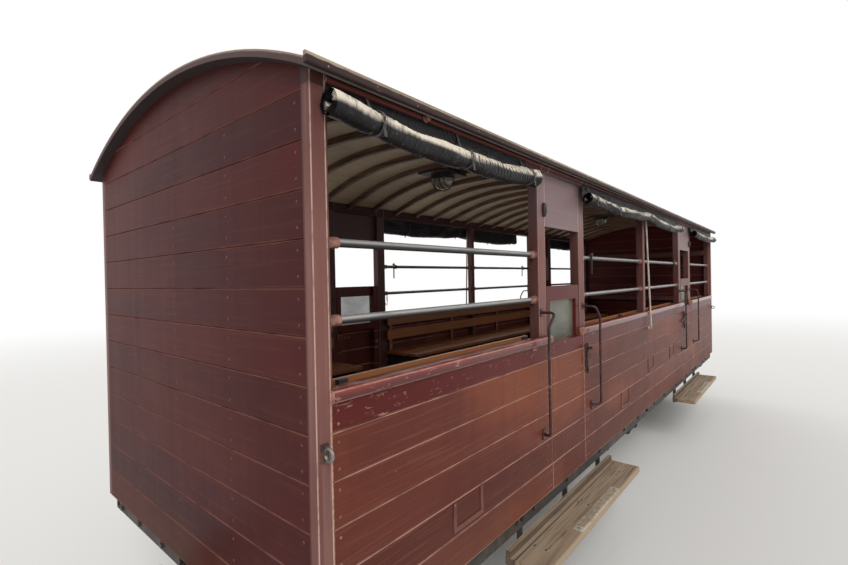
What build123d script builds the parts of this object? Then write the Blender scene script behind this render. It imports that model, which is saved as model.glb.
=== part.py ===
from build123d import *
import math
import os

# Open-sided bogie coach for 762 mm gauge. Millimetres, X along the coach, Z up from the wheel flange tips.
# The side at negative Y is the right-hand side. Heights named REL are measured up from the lowest plank edge.

# Body
BODY_LENGTH = 7660.0
BODY_WIDTH = 2080.0
PLANK_BOTTOM_Z = 680.0
PLANK_PITCH = 155.0
SIDE_BOARDS = 5
TOP_BOARD = 92.0
PLANK_THICKNESS = 28.0
GROOVE_WIDTH = 7.0
GROOVE_DEPTH = 6.0
CAP_HEIGHT = 46.0
CAP_PROUD = 14.0
INNER_SILL_THICKNESS = 24.0

# Posts and doorways
POST_DEPTH = 60.0
CORNER_FACE = 60.0
CORNER_END_FACE = 42.0
DOOR_POST_WIDTH = 92.0
CENTRE_POST_WIDTH = 56.0
DOOR_FROM_END = 1940.0
DOOR_OPENING = 516.0
HEADER_BOTTOM_REL = 1560.0
FASCIA_BOTTOM_REL = 1872.0
HEADER_THICKNESS = 14.0
FASCIA_DEPTH = 39.0
BEAD_HEIGHT = 16.0
BEAD_PROUD = 7.0

# Roof
ROOF_RADIUS = 2500.0
ROOF_THICKNESS = 25.0
ROOF_SIDE_OVERHANG = 45.0
ROOF_END_OVERHANG = 50.0
EDGE_STRIP_WIDTH = 16.0
EDGE_STRIP_HEIGHT = 34.0
CARLINE_DEPTH = 40.0
CARLINE_WIDTH = 30.0
ROOF_BAYS = 25
LAMP_RADIUS = 95.0
LAMP_RIM = 32.0
LAMP_GLASS_GAP = 7.0
LAMP_CAGE_WIRE = 3.5
LAMP_CAGE_WIRES = 5
LAMP_CAGE_PITCH = 30.0
LAMP_PLATE_WIDTH = 230.0
LAMP_PLATE_THICKNESS = 20.0

# Floor and underframe
SOLEBAR_HEIGHT = 180.0
SOLEBAR_BELOW_PLANKS = 87.0
SOLEBAR_FLANGE = 65.0
STEEL = 12.0
FLOOR_THICKNESS = 45.0
FLOOR_BOARDS = 13
CENTRE_SILL_INNER = 95.0
CENTRE_SILL_WIDTH = 65.0
CENTRE_SILL_DEPTH = 140.0
BEARER_DEPTH = 80.0
BEARER_WIDTH = 50.0
END_BEARER_INSET = 500.0
JACKING_PAD_FROM_END = 830.0
JACKING_PAD_LENGTH = 160.0
COUPLER_ROOM = 20.0
BODY_BOLSTER_HALF = 110.0
TRUSS_POST_X = 700.0
TRUSS_END_FROM_BOGIE = 370.0
TRUSS_INSET = 150.0
TRUSS_DEPTH = 150.0
TRUSS_ROD_RADIUS = 13.0
TRUSS_POST_HALF = 20.0
BRAKE_CYLINDER_RADIUS = 125.0
BRAKE_CYLINDER_LENGTH = 520.0
BRAKE_CYLINDER_Y = 470.0
BRAKE_ROD_RADIUS = 16.0
BRAKE_ROD_REACH = 360.0

# Rails, handles and clips
GUARD_RAIL_RADIUS = 15.0
GUARD_RAIL_RELS = (1127.0, 1389.0)
COLLAR_RADIUS = 30.0
COLLAR_THICKNESS = 8.0
HANDLE_RADIUS = 8.0
HANDLE_OFFSET = 409.0
HANDLE_STAND_OFF = 58.0
HANDLE_TOP_REL = 1052.0
HANDLE_FOOT_REL = 368.0
CENTRE_ROD_FOOT_REL = 752.0
CLIP_WIDTH = 228.0
CLIP_HEIGHT = 128.0
CLIP_BAR = 20.0
CLIP_THICKNESS = 5.0
LOW_CLIP_REL = 175.0
HIGH_CLIP_REL = 334.0
NEAR_CLIP_FROM_END = 690.0
SECOND_CLIP_FROM_END = 2980.0
THIRD_CLIP_FROM_END = 3805.0
FAR_CLIP_FROM_END = 4700.0
EYE_BOLT_REL = 722.0
EYE_RADIUS = 14.0
EYE_WIRE = 4.0

# Doors
DOOR_BOTTOM_REL = 162.0
DOOR_TOP_REL = 862.0
DOOR_HINGE_GAP = 6.0
DOOR_FREE_GAP = 15.0
DOOR_STILE = 50.0
DOOR_RAIL_BOTTOM_REL = 1112.0
DOOR_RAIL_HEIGHT = 90.0
HINGE_RADIUS = 8.0
CATCH_REL = 608.0
CATCH_HEIGHT = 185.0
CATCH_WIDTH = 28.0
CATCH_BOLT_RADIUS = 7.0
CATCH_LEVER = 140.0
CATCH_LEVER_HEIGHT = 16.0

# Steps
STEP_LENGTH = 1560.0
STEP_WIDTH = 200.0
STEP_THICKNESS = 40.0
STEP_TOP_BELOW_PLANKS = 160.0
STEP_UPSTAND = 36.0
STEP_BRACKET_SPACING = 600.0

# Benches
SEAT_HEIGHT = 430.0
SEAT_DEPTH = 400.0
SEAT_SLATS = 3
SEAT_SLAT_THICKNESS = 26.0
SEAT_SLAT_GAP = 16.0
BACK_SLAT_HEIGHT = 95.0
BACK_SLAT_THICKNESS = 20.0
BACK_LOW_SLAT = 110.0
BACK_TOP_SLAT = 250.0
BENCH_DOOR_GAP = 72.0
BENCH_END_GAP = 40.0
BENCH_LEG_PITCH = 1040.0

# Rolled blinds
BLIND_RADIUS = 43.0
BLIND_CENTRE_REL = 1780.0
BLIND_CLEAR = 4.0
BLIND_END_GAP = 65.0
BLIND_SHORT_OF_DOOR = 170.0
BLIND_OVER_DOOR = 20.0
BLIND_SHORT_OF_FAR_DOOR = 230.0
BLIND_STRAP = 26.0
BLIND_STRAP_SPACING = 690.0

# Running gear
BOGIE_CENTRES = 4900.0
WHEELBASE = 1170.0
WHEEL_RADIUS = 305.0
FLANGE_DEPTH = 25.0
WHEEL_BACK = 350.0
WHEEL_WIDTH = 105.0
FLANGE_WIDTH = 26.0
AXLE_RADIUS = 48.0
JOURNAL_RADIUS = 35.0
JOURNAL_END = 632.0
JOURNAL_CLEARANCE = 0.06
SIDE_FRAME_Y = 560.0
SIDE_FRAME_WIDTH = 76.0
ARCH_BAR = 22.0
ARCH_TOP_Z = 550.0
ARCH_BOTTOM_Z = 222.0
COLUMN_X = 150.0
COLUMN_WIDTH = 50.0
AXLEBOX_SIZE = 150.0
TRANSOM_Z = 462.0
TRANSOM_HEIGHT = 38.0
BOLSTER_HALF = 112.0
BOLSTER_TOP_Z = 520.0
BOLSTER_BOTTOM_Z = 408.0
SPRING_RADIUS = 46.0
SPRING_WIRE = 10.0
SPRING_COILS = 3.5
SPRING_SEAT = 12.0
SPRING_PITCH = 100.0
SPRING_PLANK = 14.0
CENTRE_PIN_RADIUS = 25.0
CENTRE_PLATE_RADIUS = 108.0
CENTRE_PLATE_TOP_Z = 560.0
SIDE_BEARER_Y = 430.0
BEARER_PAD = 28.0
BEARING_GAP = 5.0
SHOE_GAP = 8.0
SHOE_THICKNESS = 40.0
SHOE_WIDTH = 64.0
SHOE_HEIGHT = 240.0
BRAKE_SHOE_INSET = 66.0
BRAKE_BEAM_WIDTH = 34.0
BRAKE_BEAM_HEIGHT = 35.0
HANGER_WIDTH = 20.0

# Couplers
COUPLER_Z = 585.0
COUPLER_PIVOT_INSET = 300.0
COUPLER_REACH = 300.0
SHANK_HALF = 45.0
COUPLER_PIN_RADIUS = 22.0
COUPLER_PIN_CLEARANCE = 0.08
COUPLER_HEAD_LENGTH = 235.0
COUPLER_HEAD_HALF = 85.0
KNUCKLE_HALF = 100.0
COUPLER_KNUCKLE_PIN_RADIUS = 15.0
COUPLER_PIN_FOOT = 12.0
COUPLER_PIN_HEAD = 24.0
COUPLER_EDGE = 12.0

# Values worked out from the dimensions above
HALF_LENGTH = BODY_LENGTH / 2
HALF_WIDTH = BODY_WIDTH / 2
FRAME_Y = HALF_WIDTH - PLANK_THICKNESS
FRAME_X = HALF_LENGTH - PLANK_THICKNESS
POST_INNER_Y = FRAME_Y - POST_DEPTH
WAIST_REL = SIDE_BOARDS * PLANK_PITCH + TOP_BOARD
SOLEBAR_BOTTOM_Z = PLANK_BOTTOM_Z - SOLEBAR_BELOW_PLANKS
SOLEBAR_TOP_Z = SOLEBAR_BOTTOM_Z + SOLEBAR_HEIGHT
FLOOR_TOP_Z = SOLEBAR_TOP_Z + FLOOR_THICKNESS
WAIST_Z = PLANK_BOTTOM_Z + WAIST_REL
CAP_TOP_Z = WAIST_Z + CAP_HEIGHT
FASCIA_Z = PLANK_BOTTOM_Z + FASCIA_BOTTOM_REL
ROOF_INNER_RADIUS = ROOF_RADIUS - ROOF_THICKNESS
ROOF_HALF_WIDTH = HALF_WIDTH + ROOF_SIDE_OVERHANG
ROOF_CENTRE_Z = FASCIA_Z + FASCIA_DEPTH - math.sqrt(ROOF_INNER_RADIUS ** 2 - HALF_WIDTH ** 2)
CROWN_Z = ROOF_CENTRE_Z + ROOF_RADIUS
CARLINE_PITCH = (2 * FRAME_X - CARLINE_WIDTH) / ROOF_BAYS
DOOR_X = HALF_LENGTH - DOOR_FROM_END
OPENING_OUT = DOOR_X + DOOR_OPENING / 2
OPENING_IN = DOOR_X - DOOR_OPENING / 2
BOGIE_X = BOGIE_CENTRES / 2
AXLE_Z = WHEEL_RADIUS + FLANGE_DEPTH
SPRING_FOOT_Z = ARCH_BOTTOM_Z + 2 * ARCH_BAR + SPRING_PLANK
HINGE_Y = POST_INNER_Y - HINGE_RADIUS - 0.5
BLIND_Y = HALF_WIDTH + BLIND_CLEAR + BLIND_RADIUS
BLIND_Z = PLANK_BOTTOM_Z + BLIND_CENTRE_REL
STEP_TOP_Z = PLANK_BOTTOM_Z - STEP_TOP_BELOW_PLANKS
COUPLER_PIVOT_X = HALF_LENGTH - COUPLER_PIVOT_INSET
CORNER_CORE = PLANK_THICKNESS + POST_DEPTH
SILL_Z = SOLEBAR_TOP_Z - CENTRE_SILL_DEPTH
SILL_OUTER = CENTRE_SILL_INNER + CENTRE_SILL_WIDTH
SOLEBAR_TIP = FRAME_Y - SOLEBAR_FLANGE
BEARER_BOTTOM_Z = SOLEBAR_TOP_Z - BEARER_DEPTH
END_BEARER_X = HALF_LENGTH - END_BEARER_INSET
TRUSS_END_X = BOGIE_X - TRUSS_END_FROM_BOGIE
TRUSS_Y = FRAME_Y - TRUSS_INSET
TRANSOM_FACE = COLUMN_X + COLUMN_WIDTH / 2 + 4
BRAKE_Y = WHEEL_BACK + BRAKE_SHOE_INSET


def box(x0, x1, y0, y1, z0, z1):
    """A block between two corners."""
    return Pos((x0 + x1) / 2, (y0 + y1) / 2, (z0 + z1) / 2) * Box(abs(x1 - x0), abs(y1 - y0), abs(z1 - z0))


def joined(pieces):
    """The pieces as one shape, fused where they touch."""
    result = pieces[0]
    for piece in pieces[1:]:
        result = result + piece
    return result


def along_x(points, x0, x1):
    """A closed outline of (y, z) points, extruded from x0 to x1."""
    outline = make_face(Polyline(*[(x0, y, z) for y, z in points], close=True))
    return extrude(outline, amount=x1 - x0, dir=(1, 0, 0))


def along_y(points, y0, y1):
    """A closed outline of (x, z) points, extruded from y0 to y1."""
    outline = make_face(Polyline(*[(x, y0, z) for x, z in points], close=True))
    return extrude(outline, amount=y1 - y0, dir=(0, 1, 0))


def rod_x(radius, x0, x1, y, z):
    """A round bar along X."""
    return Pos((x0 + x1) / 2, y, z) * Rot(0, 90, 0) * Cylinder(radius, abs(x1 - x0))


def rod_y(radius, x, y0, y1, z):
    """A round bar along Y."""
    return Pos(x, (y0 + y1) / 2, z) * Rot(90, 0, 0) * Cylinder(radius, abs(y1 - y0))


def rod_z(radius, x, y, z0, z1):
    """A round bar along Z."""
    return Pos(x, y, (z0 + z1) / 2) * Cylinder(radius, abs(z1 - z0))


def bent_rod(points, radius, bend):
    """A round bar along a line of points, with rounded bends."""
    path = FilletPolyline(*points, radius=bend)
    section = Plane(origin=path @ 0, z_dir=path % 0) * Circle(radius)
    return sweep(section, path=path)


def strap(points, thickness):
    """The outline of a flat bar that follows a line of points, with mitred corners."""
    upper = []
    lower = []
    last = len(points) - 1
    for index, (x, z) in enumerate(points):
        before = points[max(index - 1, 0)]
        after = points[min(index + 1, last)]
        into = math.atan2(z - before[1], x - before[0]) if index else None
        out = math.atan2(after[1] - z, after[0] - x) if index < last else None
        into = out if into is None else into
        out = into if out is None else out
        middle = (into + out) / 2
        reach = thickness / 2 / math.cos((out - into) / 2)
        upper.append((x - reach * math.sin(middle), z + reach * math.cos(middle)))
        lower.append((x + reach * math.sin(middle), z - reach * math.cos(middle)))
    return upper + lower[::-1]


def to_left(shape):
    """The same piece on the left-hand side."""
    return mirror(shape, about=Plane.XZ)


def to_rear(shape):
    """The same piece at the other end, on the same side."""
    return mirror(shape, about=Plane.YZ)


def both_ends(shape):
    """The piece and its mirror at the other end."""
    return [shape, to_rear(shape)]


def both_sides(shape):
    """The piece and its mirror on the other side."""
    return [shape, to_left(shape)]


def roof_band(outer, inner, half_width, x0, x1):
    """An arched band between two radii, from -half_width to half_width, extruded along X."""
    def at(radius, y):
        return (x0, y, ROOF_CENTRE_Z + math.sqrt(radius ** 2 - y ** 2))

    top = ThreePointArc(at(outer, -half_width), at(outer, 0), at(outer, half_width))
    bottom = ThreePointArc(at(inner, half_width), at(inner, 0), at(inner, -half_width))
    ends = [Line(top @ 1, bottom @ 0), Line(bottom @ 1, top @ 0)]
    return extrude(make_face([top, ends[0], bottom, ends[1]]), amount=x1 - x0, dir=(1, 0, 0))


def under_arch(radius, x0, x1, z0):
    """The space below an arch of the given radius, about the centre of the roof's arch, as a solid."""
    half = HALF_WIDTH + 1
    shoulder = ROOF_CENTRE_Z + math.sqrt(radius ** 2 - half ** 2)
    top = ThreePointArc((x0, -half, shoulder), (x0, 0, ROOF_CENTRE_Z + radius), (x0, half, shoulder))
    foot = Polyline((x0, half, shoulder), (x0, half, z0), (x0, -half, z0), (x0, -half, shoulder))
    return extrude(make_face([top, foot]), amount=x1 - x0, dir=(1, 0, 0))


def under_roof(x0, x1, z0):
    """The space below the roof skin, as a solid."""
    return under_arch(ROOF_INNER_RADIUS, x0, x1, z0)


def side_grooves(x0, x1, first, last, outer_y):
    """The grooves between the boards of a right-hand side panel."""
    grooves = []
    for row in range(first, last + 1):
        z = PLANK_BOTTOM_Z + row * PLANK_PITCH
        outline = [
            (outer_y, z - GROOVE_WIDTH / 2),
            (outer_y + GROOVE_DEPTH, z),
            (outer_y, z + GROOVE_WIDTH / 2),
        ]
        grooves.append(along_x(outline, x0, x1))
    return grooves


def cap_rail(x0, x1):
    """The rounded cap on top of a waist panel, proud of the boards."""
    z0 = WAIST_Z
    z1 = CAP_TOP_Z
    block = box(x0, x1, -HALF_WIDTH - CAP_PROUD, -FRAME_Y, z0, z1)
    edges = block.edges().filter_by(Axis.X)
    return fillet(edges, CAP_HEIGHT * 0.34)


def side_panel(x0, x1):
    """Boards of one bay above the sill board, with the cap."""
    boards = box(x0, x1, -HALF_WIDTH, -FRAME_Y, PLANK_BOTTOM_Z + PLANK_PITCH, WAIST_Z)
    for groove in side_grooves(x0, x1, 2, SIDE_BOARDS, -HALF_WIDTH):
        boards = boards - groove
    return boards


def waist_panel(x0, x1, sill_spans):
    """Boards and cap of one bay on the right-hand side, with the inner sills between its posts."""
    pieces = [side_panel(x0, x1) + cap_rail(x0, x1)]
    z1 = CAP_TOP_Z - INNER_SILL_THICKNESS / 2
    for sill_x0, sill_x1 in sill_spans:
        pieces.append(box(sill_x0, sill_x1, -FRAME_Y, -POST_INNER_Y, z1 - INNER_SILL_THICKNESS, z1))
    return Compound(children=pieces)


def sill_board():
    """The lowest board, which runs under the doorways."""
    x1 = HALF_LENGTH - CORNER_FACE
    board = box(-x1, x1, -HALF_WIDTH, -FRAME_Y, PLANK_BOTTOM_Z, PLANK_BOTTOM_Z + PLANK_PITCH)
    for groove in side_grooves(-x1, x1, 1, 1, -HALF_WIDTH):
        board = board - groove
    return board


def cantrail():
    """The rail over the right-hand posts with the fascia in front of it, cut to the arch of the roof."""
    rail = box(-FRAME_X, FRAME_X, -FRAME_Y, -POST_INNER_Y, FASCIA_Z, CROWN_Z)
    fascia_x = HALF_LENGTH - CORNER_FACE
    fascia = box(-fascia_x, fascia_x, -HALF_WIDTH, -FRAME_Y, FASCIA_Z, CROWN_Z)
    return (rail + fascia) & under_roof(-HALF_LENGTH, HALF_LENGTH, FASCIA_Z - 1)


def fascia_bead():
    """The half-round bead along the top of the fascia, tight under the roof skin."""
    x1 = HALF_LENGTH - CORNER_FACE
    middle = FASCIA_Z + FASCIA_DEPTH - BEAD_HEIGHT / 2 - BEAD_PROUD / 2
    bead = rod_x(BEAD_HEIGHT / 2, -x1, x1, -HALF_WIDTH, middle)
    room = box(-x1, x1, -HALF_WIDTH - BEAD_PROUD, -HALF_WIDTH, middle - BEAD_HEIGHT, middle + BEAD_HEIGHT)
    return bead & room


def side_frame():
    """Door posts, centre post, headers, cantrail, bead and centre rod of the right-hand side."""
    pieces = []
    for sign in (-1, 1):
        for inner in (OPENING_OUT, OPENING_IN - DOOR_POST_WIDTH):
            x0 = sign * inner
            x1 = sign * (inner + DOOR_POST_WIDTH)
            pieces.append(box(x0, x1, -FRAME_Y, -POST_INNER_Y, SOLEBAR_TOP_Z, FASCIA_Z))
        header_z = PLANK_BOTTOM_Z + HEADER_BOTTOM_REL
        x0 = sign * OPENING_IN
        x1 = sign * OPENING_OUT
        pieces.append(box(x0, x1, -FRAME_Y, -FRAME_Y + HEADER_THICKNESS, header_z, FASCIA_Z))
    half = CENTRE_POST_WIDTH / 2
    pieces.append(box(-half, half, -FRAME_Y, -POST_INNER_Y, SOLEBAR_TOP_Z, FASCIA_Z))
    rail = cantrail()
    pieces.append(rail)
    pieces.append(fascia_bead())
    pieces.append(centre_rod() - rail)
    return pieces


def centre_rod():
    """The thin rod in front of the centre post, bolted to the top board."""
    foot_z = PLANK_BOTTOM_Z + CENTRE_ROD_FOOT_REL
    foot_y = -HALF_WIDTH - CAP_PROUD - HANDLE_RADIUS - 6
    path = Line((0, foot_y, foot_z), (0, -HALF_WIDTH + HANDLE_RADIUS, FASCIA_Z + 2))
    rod = sweep(Plane(origin=path @ 0, z_dir=path % 0) * Circle(HANDLE_RADIUS), path=path)
    foot = rod_y(HANDLE_RADIUS * 1.6, 0, foot_y - HANDLE_RADIUS, -HALF_WIDTH, foot_z)
    return rod + foot


def corner_post():
    """The corner post at the near right corner: side face, end face and a core behind the boards."""
    low = PLANK_BOTTOM_Z
    side_face = box(-HALF_LENGTH, -HALF_LENGTH + CORNER_FACE, -HALF_WIDTH, -FRAME_Y, low, CROWN_Z)
    end_face = box(-HALF_LENGTH, -FRAME_X, -HALF_WIDTH, -HALF_WIDTH + CORNER_END_FACE, low, CROWN_Z)
    faces = (side_face + end_face) & under_roof(-HALF_LENGTH - 1, HALF_LENGTH, low - 1)
    core_x = -HALF_LENGTH + CORNER_CORE
    core = box(-FRAME_X, core_x, -FRAME_Y, -POST_INNER_Y, SOLEBAR_TOP_Z, FASCIA_Z)
    return faces + core


def end_frame():
    """Two corner posts with the cross rails behind the end boards, at the near end."""
    pieces = both_sides(corner_post())
    x0 = -FRAME_X
    x1 = x0 + POST_DEPTH
    for rel in (WAIST_REL - 40, HEADER_BOTTOM_REL):
        z0 = PLANK_BOTTOM_Z + rel
        pieces.append(box(x0, x1, -POST_INNER_Y, POST_INNER_Y, z0, z0 + 70))
    return Compound(children=pieces)


def end_wall():
    """The planked end wall, cut to the arch of the roof, at the near end."""
    half = HALF_WIDTH - CORNER_END_FACE
    wall = box(-HALF_LENGTH, -FRAME_X, -half, half, PLANK_BOTTOM_Z, CROWN_Z)
    wall = wall & under_roof(-HALF_LENGTH - 1, -FRAME_X + 1, PLANK_BOTTOM_Z - 1)
    rows = int((CROWN_Z - ROOF_THICKNESS - PLANK_BOTTOM_Z) // PLANK_PITCH)
    for row in range(1, rows + 1):
        z = PLANK_BOTTOM_Z + row * PLANK_PITCH
        outline = [
            (-HALF_LENGTH, z - GROOVE_WIDTH / 2),
            (-HALF_LENGTH + GROOVE_DEPTH, z),
            (-HALF_LENGTH, z + GROOVE_WIDTH / 2),
        ]
        wall = wall - along_y(outline, -half, half)
    return wall


def roof_skin():
    """The arched roof skin."""
    x1 = HALF_LENGTH + ROOF_END_OVERHANG
    return roof_band(ROOF_RADIUS, ROOF_INNER_RADIUS, ROOF_HALF_WIDTH, -x1, x1)


def roof_edge_strips():
    """The drip strips along both eaves."""
    x1 = HALF_LENGTH + ROOF_END_OVERHANG
    eave_z = ROOF_CENTRE_Z + math.sqrt(ROOF_RADIUS ** 2 - ROOF_HALF_WIDTH ** 2)
    z0 = eave_z - EDGE_STRIP_HEIGHT * 0.6
    strip = box(-x1, x1, -ROOF_HALF_WIDTH - EDGE_STRIP_WIDTH, -ROOF_HALF_WIDTH, z0, z0 + EDGE_STRIP_HEIGHT)
    strip = fillet(strip.edges().filter_by(Axis.X).sort_by(Axis.Y)[:2], EDGE_STRIP_WIDTH * 0.4)
    return Compound(children=both_sides(strip))


def carline_x(index):
    """Where the centre of a roof rib stands, counted from the near end."""
    return -FRAME_X + CARLINE_WIDTH / 2 + index * CARLINE_PITCH


def roof_carlines():
    """The arched ribs under the skin, with a bow behind each end wall."""
    inner = ROOF_INNER_RADIUS - CARLINE_DEPTH
    half = CARLINE_WIDTH / 2
    ribs = []
    for index in range(ROOF_BAYS + 1):
        x = carline_x(index)
        ribs.append(roof_band(ROOF_INNER_RADIUS, inner, POST_INNER_Y, x - half, x + half))
    return Compound(children=ribs)


def lamp_cage(x, top_z):
    """The bent wires of a lamp's cage, side by side about top_z."""
    wires = []
    for index in range(LAMP_CAGE_WIRES):
        y = (index - (LAMP_CAGE_WIRES - 1) / 2) * LAMP_CAGE_PITCH
        major = math.sqrt((LAMP_RADIUS - LAMP_CAGE_WIRE - 1) ** 2 - y ** 2)
        wires.append(Pos(x, y, top_z) * Rot(90, 0, 0) * Torus(major, LAMP_CAGE_WIRE))
    return wires


def ceiling_lamp(x):
    """A round lamp in a wire cage, hung from a plate between two ribs near x."""
    first = round((x + FRAME_X - CARLINE_WIDTH / 2) / CARLINE_PITCH - 0.5)
    x0 = carline_x(first) - CARLINE_WIDTH / 2
    x1 = carline_x(first + 1) + CARLINE_WIDTH / 2
    arch = ROOF_INNER_RADIUS - CARLINE_DEPTH
    plate_z = ROOF_CENTRE_Z + arch - LAMP_PLATE_THICKNESS
    half = LAMP_PLATE_WIDTH / 2
    plate = box(x0, x1, -half, half, plate_z, CROWN_Z) & under_arch(arch, x0 - 1, x1 + 1, PLANK_BOTTOM_Z)
    middle = (x0 + x1) / 2
    rim_z = plate_z - LAMP_RIM
    rim = rod_z(LAMP_RADIUS, middle, 0, rim_z, plate_z)
    glass = Pos(middle, 0, rim_z) * Sphere(LAMP_RADIUS - 2 * LAMP_CAGE_WIRE - LAMP_GLASS_GAP)
    glass = glass & box(middle - LAMP_RADIUS, middle + LAMP_RADIUS, -half, half, rim_z - LAMP_RADIUS, rim_z)
    cage_room = box(middle - LAMP_RADIUS, middle + LAMP_RADIUS, -half, half, rim_z - LAMP_RADIUS, rim_z + 4)
    lamp = joined([plate, rim, glass])
    for wire in lamp_cage(middle, rim_z):
        lamp = lamp + (wire & cage_room)
    return lamp


def ceiling_lamps():
    """A caged lamp over each pair of doors."""
    return Compound(children=both_ends(ceiling_lamp(-DOOR_X)))


def channel(x0, x1, y_web, y_open, z0, z1):
    """A channel along X with its web at y_web and its flanges reaching to y_open."""
    way = math.copysign(1, y_open - y_web)
    hollow = box(x0 - 1, x1 + 1, y_web + way * STEEL, y_open + way, z0 + STEEL, z1 - STEEL)
    return box(x0, x1, y_web, y_open, z0, z1) - hollow


def headstock():
    """The near headstock in three lengths, the middle one cut away above the coupler."""
    x0 = -FRAME_X
    x1 = x0 + SOLEBAR_FLANGE
    top = SOLEBAR_TOP_Z
    side = box(x0, x1, CENTRE_SILL_INNER, SOLEBAR_TIP, SOLEBAR_BOTTOM_Z, top)
    side = side - box(
        x0 + STEEL, x1 + 1, CENTRE_SILL_INNER - 1, SOLEBAR_TIP + 1, SOLEBAR_BOTTOM_Z + STEEL, top - STEEL)
    low = COUPLER_Z + SHANK_HALF + COUPLER_ROOM
    half = CENTRE_SILL_INNER
    middle = box(x0, x1, -half, half, low, top)
    middle = middle - box(x0 + STEEL, x1 + 1, -half - 1, half + 1, low - 1, top - STEEL)
    return both_sides(side) + [middle]


def bearer_stations():
    """Where the cross bearers stand, from the middle to the far end."""
    half_way = (TRUSS_POST_X + TRUSS_END_X) / 2
    behind_bolster = (BOGIE_X + END_BEARER_X) / 2
    return [0.0, TRUSS_POST_X, half_way, TRUSS_END_X, behind_bolster, END_BEARER_X]


def cross_bearer(x):
    """One cross bearer in three lengths, between the solebars and the centre sills."""
    x0 = x - BEARER_WIDTH / 2
    x1 = x + BEARER_WIDTH / 2
    outer = box(x0, x1, SILL_OUTER, SOLEBAR_TIP, BEARER_BOTTOM_Z, SOLEBAR_TOP_Z)
    middle = box(x0, x1, -CENTRE_SILL_INNER, CENTRE_SILL_INNER, BEARER_BOTTOM_Z, SOLEBAR_TOP_Z)
    return both_sides(outer) + [middle]


def jacking_pad():
    """The steel pad under the near end of the right-hand solebar, where a jack lifts the coach."""
    x = -HALF_LENGTH + JACKING_PAD_FROM_END
    half = JACKING_PAD_LENGTH / 2
    return box(x - half, x + half, -FRAME_Y, -SOLEBAR_TIP, SOLEBAR_BOTTOM_Z - STEEL, SOLEBAR_BOTTOM_Z)


def underframe():
    """Solebars, headstocks, centre sills, cross bearers, step brackets and jacking pads, seated together."""
    solebar = channel(-FRAME_X, FRAME_X, -FRAME_Y, -SOLEBAR_TIP, SOLEBAR_BOTTOM_Z, SOLEBAR_TOP_Z)
    sill_x = FRAME_X - SOLEBAR_FLANGE
    sill = channel(-sill_x, sill_x, CENTRE_SILL_INNER, SILL_OUTER, SILL_Z, SOLEBAR_TOP_Z)
    pieces = both_sides(solebar) + both_sides(sill)
    for piece in headstock():
        pieces.extend(both_ends(piece))
    for station in bearer_stations():
        for x in {-station, station}:
            pieces.extend(cross_bearer(x))
    for x in step_bracket_stations():
        pieces.extend(both_sides(step_bracket(x)))
    for pad in both_ends(jacking_pad()):
        pieces.extend(both_sides(pad))
    return Compound(children=pieces)


def body_bolster():
    """The tapered cross member over the near bogie, with centre plate, pin and side bearers."""
    reach = SOLEBAR_TIP
    low = CENTRE_PLATE_TOP_Z
    high = SOLEBAR_BOTTOM_Z + 50
    flat = CENTRE_PLATE_RADIUS + 180
    top = SOLEBAR_TOP_Z
    outline = [(-reach, top), (-reach, high), (-flat, low), (flat, low), (reach, high), (reach, top)]
    x = -BOGIE_X
    x0 = x - BODY_BOLSTER_HALF
    x1 = x + BODY_BOLSTER_HALF
    beam = along_x(outline, x0, x1)
    for seat in both_sides(box(x0 - 1, x1 + 1, CENTRE_SILL_INNER, SILL_OUTER, SILL_Z, top + 1)):
        beam = beam - seat
    plate = rod_z(CENTRE_PLATE_RADIUS, x, 0, BOLSTER_TOP_Z + 0.3, low + 1)
    pin = rod_z(CENTRE_PIN_RADIUS, x, 0, BOLSTER_BOTTOM_Z + 10, low + 1)
    pad_z = BOLSTER_TOP_Z + BEARER_PAD + BEARING_GAP
    pad = box(x - 55, x + 55, SIDE_BEARER_Y - 40, SIDE_BEARER_Y + 40, pad_z, top - 60)
    return joined([beam, plate, pin] + both_sides(pad))


def draft_gear():
    """The box that holds the near coupler's pin, and the strap that carries its shank."""
    x0 = -COUPLER_PIVOT_X - 80
    x1 = -COUPLER_PIVOT_X + 80
    low = COUPLER_Z - SHANK_HALF
    cheek_y = CENTRE_SILL_INNER + 10
    cheek = box(x0, x1, cheek_y, cheek_y + STEEL, low - 25, SILL_Z)
    upper_z = COUPLER_Z + SHANK_HALF + 6
    upper = box(x0, x1, -CENTRE_SILL_INNER, CENTRE_SILL_INNER, upper_z, upper_z + STEEL)
    lower = box(x0, x1, -cheek_y - 1, cheek_y + 1, low - 25, low - 25 + STEEL)
    pin = rod_z(COUPLER_PIN_RADIUS, -COUPLER_PIVOT_X, 0, low - 40, upper_z + STEEL / 2)
    holder = joined(both_sides(cheek) + [upper, lower, pin])
    leg = box(-FRAME_X, -FRAME_X + 40, cheek_y, cheek_y + STEEL, low - 20, SOLEBAR_BOTTOM_Z)
    bar = box(-FRAME_X, -FRAME_X + 40, -cheek_y - 1, cheek_y + 1, low - 20, low - 20 + STEEL)
    return [holder, joined(both_sides(leg) + [bar])]


def step_bracket_stations():
    """Where the step brackets stand along the coach."""
    stations = []
    for x in (-DOOR_X, DOOR_X):
        for step in (-1, 0, 1):
            stations.append(x + step * STEP_BRACKET_SPACING)
    return stations


def step_bracket(x):
    """A bracket from the right-hand solebar out under the step board."""
    seat = STEP_TOP_Z - STEP_THICKNESS
    y_in = -FRAME_Y + 30
    y_out = -HALF_WIDTH - STEP_WIDTH + 25
    outline = [
        (y_in, SOLEBAR_BOTTOM_Z), (-FRAME_Y, SOLEBAR_BOTTOM_Z), (-FRAME_Y, seat), (y_out, seat),
        (y_out, seat - 12), (-FRAME_Y - 60, seat - 22), (y_in, seat - 60),
    ]
    return along_x(outline, x - 6, x + 6)


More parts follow.
